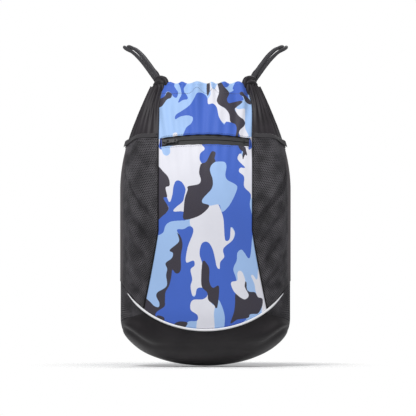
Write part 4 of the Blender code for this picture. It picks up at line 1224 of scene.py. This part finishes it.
# %% Boot cloth
BOOT_MIDDLE, BOOT_SIDE, BOOT_ROWS = 60, 30, 56
CREASE_HEIGHT, CREASE_CLIMB, CREASE_LEAST, CREASE_DEEP = 0.040, 0.036, 0.0004, 0.0034
boot_shares = even_shares(INSET_START, BOOT_SIDE)[1:]
boot_outer = [INSET_START + share * (math.pi / 2 - INSET_START) for share in boot_shares]
boot_angles = [-a for a in boot_outer[::-1]]
boot_angles += [INSET_START * (2 * k / BOOT_MIDDLE - 1) for k in range(BOOT_MIDDLE + 1)] + boot_outer


def boot_top(angle):
    if abs(angle) < INSET_START:
        return seam_height(angle) - SEAM_HALF_GAP
    return inset_height(angle) - GAP / 2


def boot_lift(angle, height, share):
    """A crease that climbs and deepens toward each pinched corner, and some shallow dents."""
    x = abs(half_width(height) * math.sin(angle))
    crease = CREASE_HEIGHT + CREASE_CLIMB * blend(0.085, 0.160, x)
    fold = 1.5 * hump(crease + 0.011, 0.0105, height) - 0.9 * hump(crease - 0.004, 0.0055, height)
    strong = CREASE_LEAST + CREASE_DEEP * blend(0.050, 0.140, x)
    rim = blend(0.0, 0.16, 1 - share) * blend(0.05, 0.25, share)
    dents = ripple(Vector((half_width(height) * math.sin(angle), height * 1.6, 3.0)), 16.0, 0.0016)
    return (fold * strong + dents) * rim


def boot_place(column, row):
    angle = boot_angles[column]
    share = (row / BOOT_ROWS) ** 1.5
    height = boot_top(angle) * share
    return raised(angle, height, boot_lift(angle, height, share)) if row > 3 else skin(angle, height)


boot = panel("boot_cloth", len(boot_angles) - 1, BOOT_ROWS, boot_place, CLOTH, boot_cloth,
             facing=lambda point: Vector((point.x, point.y - BACK_Y, -0.02)))
keep(boot, stands_for=["boot"], held="stretched")
print(boot.name, len(boot.data.polygons), "faces")


# %% Mesh corners of the boot
NET_START = INSET_START + math.radians(4)
NET_COLUMNS, NET_ROWS = 30, 24
net_angles = [NET_START + share * (math.pi / 2 - NET_START) for share in even_shares(NET_START, NET_COLUMNS)]


def make_inset(name, side):
    """The net between the boot's top edge and the seam above it."""
    def place(column, row):
        angle = net_angles[column]
        low, high = inset_height(angle) + GAP / 2, seam_height(angle) - SEAM_HALF_GAP
        return skin(side * angle, low + (high - low) * row / NET_ROWS)
    return panel(name, NET_COLUMNS, NET_ROWS, place, MESH_CLOTH, black_mesh)


for side_name, side in SIDES:
    keep(make_inset("boot_net_" + side_name, side),
         stands_for=["boot_mesh_corner_" + side_name], held="stretched")
print("boot nets made")

# %% [markdown]
# ## The mesh pockets
# The pocket is sewn down along the print and along the boot's seam, and its elastic top edge
# pulls it in. The net between is slack, and its folds run down and inward from the top corner.

# %% Pockets and their elastic
POCKET_COLUMNS, POCKET_ROWS = 54, 110
POCKET_FOLDS = ((0.97, 0.54, 0.0050), (0.84, 0.40, 0.0026), (0.64, 0.28, 0.0034),
                (0.42, 0.16, 0.0030), (0.22, 0.10, 0.0022))
BAND_COLUMNS, BAND_ROWS = 60, 14


def pocket_top(share):
    return BAG_HEIGHT - (POCKET_DROP_INNER + (POCKET_DROP_OUTER - POCKET_DROP_INNER) * share ** 1.6)


def pocket_spot(share, rise, trim):
    """Angle, height and lift of a point of the pocket: rise 0 at the seam, 1 at the top edge."""
    angle, height = 0.9, 0.3
    for _ in range(8):
        first = angle_at(panel_edge(height) + 0.002, height)
        angle = first + (POCKET_OUTER_ANGLE - first) * share
        low = above_seam(angle, PIPING_DIAMETER / 2 + 2 * GAP)
        height = low + (pocket_top(share) - trim - low) * rise
    across = max(0.0, (share - 0.16) / 0.84)
    slack = POCKET_SLACK * math.sin(math.pi * across ** 0.8) ** 1.7 * math.sin(math.pi * rise * 0.80) ** 0.8
    under = (BINDING_CLOTH + 2 * GAP) * max(0.0, min(1.0, (rise - 0.80) / 0.10))
    proud = 0.0065 * blend(0.70, 1.0, share) * blend(0.86, 1.0, rise)
    return angle, height, MESH_CLOTH + 1.5 * GAP + slack + under + proud


def pocket_crumple(share, rise):
    """Folds that run from the outer edge, at one height, down to the inner edge at another."""
    soft = blend(0.02, 0.16, share) * blend(0.0, 0.10, 1 - share)
    soft *= blend(0.02, 0.10, rise) * blend(0.03, 0.16, 1 - rise)
    total = 0.0
    for outer, inner, size in POCKET_FOLDS:
        ridge = inner + (outer - inner) * share ** 1.3
        total += size * (hump(ridge, 0.034, rise) - 0.8 * hump(ridge - 0.065, 0.032, rise))
    return (total + ripple(Vector((share * 1.4, rise * 3.2, 7.0)), 2.6, 0.0022)) * soft


def make_pocket(name, side):
    def place(column, row):
        share, rise = column / POCKET_COLUMNS, row / POCKET_ROWS
        angle, height, lift = pocket_spot(share, rise, BINDING_CLOTH + GAP)
        return raised(side * angle, height, max(0.0012, lift + pocket_crumple(share, rise)))
    return panel(name, POCKET_COLUMNS, POCKET_ROWS, place, MESH_CLOTH, black_mesh)


def make_elastic(name, side):
    """A band folded over the pocket's edge: up the inside, over and down the outside."""
    def place(column, row):
        share = column / BAND_COLUMNS
        turn = row / BAND_ROWS * 2 - 1
        face, down = (1 if turn > 0 else -1), abs(turn)
        angle, _, lift = pocket_spot(share, 1.0, 0.0)
        half = MESH_CLOTH / 2 + 2 * GAP + BINDING_CLOTH
        curl = min(1.0, down / 0.15)
        deep = BINDING_HEIGHT * (1 + 0.45 * blend(0.65, 1.0, share))
        height = pocket_top(share) - deep * down + 0.0004 * math.sin(150 * share)
        around = face * half * math.sin(curl * math.pi / 2)
        return raised(side * angle, height, lift - MESH_CLOTH / 2 + around)
    return panel(name, BAND_COLUMNS, BAND_ROWS, place, BINDING_CLOTH, elastic)


for side_name, side in SIDES:
    keep(make_pocket("pocket_net_" + side_name, side),
         stands_for=["mesh_pocket_" + side_name], held="gathered")
    keep(make_elastic("pocket_elastic_" + side_name, side),
         stands_for=["pocket_binding_" + side_name], held="folded")
print("pockets made")

# %% [markdown]
# ## Piping, corners and stitches
# Piping is a cord in a folded strip that is caught in the seam. Its ends are cut back so they
# vanish into the seam, so the tube tapers there.

# %% Piping
PIPING_STEPS = 180
PIPING_TAPER = 12


def piping_line():
    points = []
    for k in range(PIPING_STEPS + 1):
        x = PIPING_HALF_SPAN * (2 * k / PIPING_STEPS - 1)
        height = seam_at(x)
        points.append(raised(angle_at(x, height), height, PIPING_DIAMETER / 2 + GAP))
    return points


edge_line = piping_line()
edge_radii = []
for k in range(PIPING_STEPS + 1):
    from_end = min(k, PIPING_STEPS - k)
    edge_radii.append(PIPING_DIAMETER / 2 * (0.30 + 0.70 * min(1.0, from_end / PIPING_TAPER)))
piping = keep(tube("white_piping", edge_line, edge_radii, white_braid),
              stands_for=["piping"])
print(piping.name, round(length_of(edge_line), 3), "m")

# %% [markdown]
# At each top corner the two cords drag the end of the hem into a tight bunch. It is built from
# rolls of cloth laid round the cords, thick in the middle and thin where they run down into the
# side panel.

# %% Drawn corners
PLEATS = (
    ((0.0680, -0.1060, -0.0740), (0.0686, -0.1060, -0.0620), (0.0725, -0.1020, -0.0545),
     (0.0785, -0.0970, -0.0550), (0.0800, -0.0945, -0.0640)),
    ((0.0745, -0.1060, -0.0880), (0.0745, -0.1050, -0.0720), (0.0770, -0.1010, -0.0600),
     (0.0820, -0.0950, -0.0555), (0.0865, -0.0870, -0.0590)),
    ((0.0790, -0.1045, -0.1000), (0.0790, -0.1035, -0.0820), (0.0812, -0.1000, -0.0670),
     (0.0850, -0.0930, -0.0590), (0.0878, -0.0840, -0.0585)),
    ((0.0860, -0.1020, -0.1060), (0.0840, -0.1010, -0.0870), (0.0850, -0.0970, -0.0710),
     (0.0885, -0.0890, -0.0640), (0.0895, -0.0800, -0.0640)),
    ((0.0950, -0.0970, -0.1080), (0.0905, -0.0965, -0.0900), (0.0895, -0.0915, -0.0750),
     (0.0905, -0.0840, -0.0690), (0.0900, -0.0770, -0.0690)),
    ((0.0690, -0.1040, -0.0660), (0.0760, -0.1040, -0.0610), (0.0835, -0.0970, -0.0615),
     (0.0895, -0.0870, -0.0650), (0.0900, -0.0780, -0.0680)),
    ((0.0700, -0.1010, -0.0560), (0.0750, -0.0990, -0.0535), (0.0820, -0.0920, -0.0535),
     (0.0875, -0.0840, -0.0560), (0.0885, -0.0770, -0.0620)),
)
ROLL_THIN, ROLL_SWELL = 0.0010, 0.0033


def make_bunch(name, side):
    mesh = bmesh.new()
    for roll in PLEATS:
        line = smooth_line([Vector((side * x, y, z)) for x, y, z in roll], 0.0016)
        last = len(line) - 1
        swell = [math.sin(math.pi * (0.10 + 0.84 * (k / last) ** 0.7)) for k in range(last + 1)]
        radii = [ROLL_THIN + ROLL_SWELL * size for size in swell]
        part = tube("roll", line, radii, black_cloth, 12)
        mesh.from_mesh(part.data)
        bpy.data.objects.remove(part)
    return finish_mesh(mesh, name, black_gathers, 70.0)


def gather_nylon(name):
    graph = Graph(name, Sheen_Weight=0.1, Specular_IOR_Level=0.35)
    cosine, sine, along = graph.split(graph.stored("lay", "Vector"))
    pleat_relief_and_shade = (sine.math("ARCTAN2", cosine) * 3 + along * 160).sine() * 0.5 + 0.5
    worn = graph.mottle(60.0)
    # Painted shade and highlight: each pleat's hollow is darker and its crest lighter, over a random mottle
    # of wear.
    shade = graph.mix(pleat_relief_and_shade * 0.6 + worn * 0.4, colour(26, 23, 26), colour(52, 47, 52))
    return graph.set(Base_Color=shade, Roughness=0.52 + worn * 0.1, Normal=graph.bump(pleat_relief_and_shade, 0.6, 0.0008))


black_gathers = gather_nylon("gathered_nylon")
for side_name, side in SIDES:
    keep(make_bunch("hem_corner_" + side_name, side))
print("corners made")

# %% [markdown]
# Each stitch is a short thread that dips into the cloth at both ends. Hundreds are needed, so
# each is a stretched ball of twenty faces.

# %% Stitches
STITCH_LONG, STITCH_STEP, THREAD = 0.0025, 0.0030, 0.00036


def stitched(name, line, material, slot="black_cloth"):
    """A row of stitches along a line that already lies on the cloth."""
    mesh = bmesh.new()
    total = length_of(line)
    count = int(total / STITCH_STEP)
    walked, at = 0.0, 0
    marks = []
    for a, b in zip(line, line[1:]):
        step = (b - a).length
        while at < count and walked + step >= (at + 0.5) * total / count:
            share = ((at + 0.5) * total / count - walked) / step
            marks.append((a.lerp(b, share), (b - a).normalized()))
            at += 1
        walked += step
    shape = Matrix.Diagonal((THREAD, THREAD, STITCH_LONG / 2, 1.0))
    for point, ahead in marks:
        turn = ahead.to_track_quat("Z", "Y").to_matrix().to_4x4()
        place = Matrix.Translation(point) @ turn @ shape
        bmesh.ops.create_icosphere(mesh, subdivisions=1, radius=1.0, matrix=place)
    return keep(finish_mesh(mesh, name, material, 80.0))


def front_row_line(height_of, lift, half_share, count=240):
    """A line across the printed front at a height that depends on x."""
    points = []
    for k in range(count + 1):
        share = half_share * (2 * k / count - 1)
        height, x = 0.3, 0.0
        for _ in range(6):
            x = share * panel_edge(height)
            height = height_of(x)
        points.append(raised(angle_at(x, height), height, front_lift(share, height) + lift))
    return points


def side_row_line(side, height_of, first, last, count=90):
    """A line across a side, from one column to another, at a height that depends on the angle."""
    points = []
    for k in range(count + 1):
        column = first + (last - first) * k / count
        share = float(np.interp(column, range(SIDE_COLUMNS + 1), side_shares))
        height = 0.3
        for _ in range(6):
            edge = angle_at(panel_edge(height) + PANEL_GAP / 2, height)
            angle = edge + share * (math.pi / 2 - edge)
            height = height_of(angle)
        points.append(raised(side * angle, height, side_lift(column, height) + THREAD * 0.4))
    return points


def drawn_row(x):
    """The hem's row of stitches rides up where two of the gathers pull it."""
    return STITCH_HEIGHT + 0.0010 + 0.0095 * (hump(-0.0145, 0.0095, x) + hump(0.0140, 0.0060, x))


def elastic_row_line(side, count=90):
    """A line along the outside of the pocket's elastic, near its lower edge."""
    points = []
    for k in range(count + 1):
        angle, _, lift = pocket_spot(k / count, 1.0, 0.0)
        height = pocket_top(k / count) - BINDING_HEIGHT + 0.0014
        points.append(raised(side * angle, height, lift + 2 * GAP + BINDING_CLOTH + THREAD * 0.5))
    return points


hem_line = front_row_line(drawn_row, THREAD * 0.8, 0.985)
stitched("hem_stitches_front", hem_line, grey_thread, "printed_cloth")
for name, edge, thread in (("upper", 1, dark_thread), ("lower", -1, grey_thread)):
    line = front_row_line(lambda x: window_height(x, edge) + edge * 0.0022, THREAD * 0.5, 0.95)
    stitched("zip_stitches_" + name, line, thread, "printed_cloth")
for side_name, side in SIDES:
    hem_line = side_row_line(side, lambda a: STITCH_HEIGHT + 0.0016, 1, side_open)
    stitched("hem_stitches_" + side_name, hem_line, dark_thread)
    boot_line = side_row_line(side, lambda a: above_seam(a, 0.0035), SIDE_COLUMNS - 12, SIDE_COLUMNS - 1, 30)
    stitched("boot_stitches_" + side_name, boot_line, dark_thread)
    stitched("elastic_stitches_" + side_name, elastic_row_line(side), dark_thread, "elastic")
print("stitches made")

# %% [markdown]
# ## Finishes for the parts whose shape is already right
# The zip, its slider and pull, the eyelets, tabs and inner cloth keep the measured solids. Each
# gets its own finish. Their meshes have no flat cloth map, so these finishes read the place in
# space instead.

# %% Finishes for carried parts
def plain_cloth(name, dark, light, pitch):
    """Woven bands on pieces without a cut map, read from their place."""
    graph = Graph(name, Sheen_Weight=0.15)
    x, y, z = (part * (2000 * math.pi / pitch) for part in graph.split(graph.place()))
    threads = (x + y).sine() * (z + y * 0.5).sine()
    shade = graph.mix(threads * 0.3 + graph.mottle(50.0) * 0.7, dark, light)
    return graph.set(Base_Color=shade, Roughness=0.6 + threads * 0.08,
                     Normal=graph.bump(threads, 0.4, 0.0003))


webbing = plain_cloth("webbing", colour(36, 34, 38), colour(66, 63, 68), 1.6)
lining = plain_cloth("lining_cloth", colour(34, 32, 36), colour(52, 49, 54), 0.9)
inner_cord = plain_cloth("casing_cord_weave", colour(34, 33, 36), colour(62, 60, 65), 1.8)
tab_cloth = plain_cloth("zip_tab_cloth", colour(58, 82, 178), colour(84, 112, 212), 0.9)
FINISHES = {
    zip_tape: ("zip_tape_upper", "zip_tape_lower", "zip_coil_upper", "zip_coil_lower"),
    zip_metal: ("zip_slider", "zip_pull", "zip_stop_top_upper", "zip_stop_top_lower", "zip_stop_bottom"),
    eyelet_metal: ("grommet_left", "grommet_right", "grommet_washer_left", "grommet_washer_right"),
    webbing: ("corner_tab_left", "corner_tab_right"),
    lining: ("zip_pocket_lining", "seam_binding"),
    inner_cord: ("casing_cord_front", "casing_cord_back"),
    tab_cloth: ("zip_end_tab_left", "zip_end_tab_right"),
}
for finish, names in FINISHES.items():
    for name in names:
        data = nodes[name].data
        data.materials.clear()
        data.materials.append(finish)
print("carried parts", sum(len(names) for names in FINISHES.values()))

# %% [markdown]
# ## Floor and backdrop
# A plain pale floor just under the boot, with a white surround that only the camera sees.

# %% Floor and surround
FADE_FROM, FADE_TO = 0.13, 0.33
FLOOR_Z = BASE_Z - 0.0008
FLOOR_HALF = 30.0
SKY_TINT, SKY_STRENGTH = (0.97, 0.98, 1.0, 1.0), 0.37


def pale_floor(name):
    """White, and fading out a little way from the sack, so that the white surround follows it."""
    graph = Graph(name, Roughness=0.9)
    x, y, _ = graph.split(graph.place())
    near = 1 - ((x * x + y * y) ** 0.5).step(FADE_FROM, FADE_TO)
    shade = graph.mix(graph.mottle(3.0) * 0.2, colour(255, 255, 255), colour(250, 250, 252))
    return graph.set(Alpha=near, Base_Color=shade)


mesh = bmesh.new()
bmesh.ops.create_grid(mesh, x_segments=2, y_segments=2, size=FLOOR_HALF)
bmesh.ops.translate(mesh, vec=(0, 0, FLOOR_Z), verts=mesh.verts)
floor = finish_mesh(mesh, "floor", pale_floor("pale_floor"))
world = bpy.data.worlds.new("studio")
bpy.context.scene.world = world
world.use_nodes = True
tree = world.node_tree
lit = tree.nodes["Background"]
lit.inputs["Color"].default_value = SKY_TINT
lit.inputs["Strength"].default_value = SKY_STRENGTH
seen = tree.nodes.new("ShaderNodeBackground")
seen.inputs["Color"].default_value = (1, 1, 1, 1)
rays = tree.nodes.new("ShaderNodeLightPath")
both = tree.nodes.new("ShaderNodeMixShader")
tree.links.new(rays.outputs["Is Camera Ray"], both.inputs[0])
tree.links.new(lit.outputs[0], both.inputs[1])
tree.links.new(seen.outputs[0], both.inputs[2])
tree.links.new(both.outputs[0], tree.nodes["World Output"].inputs[0])
print("floor at", FLOOR_Z)
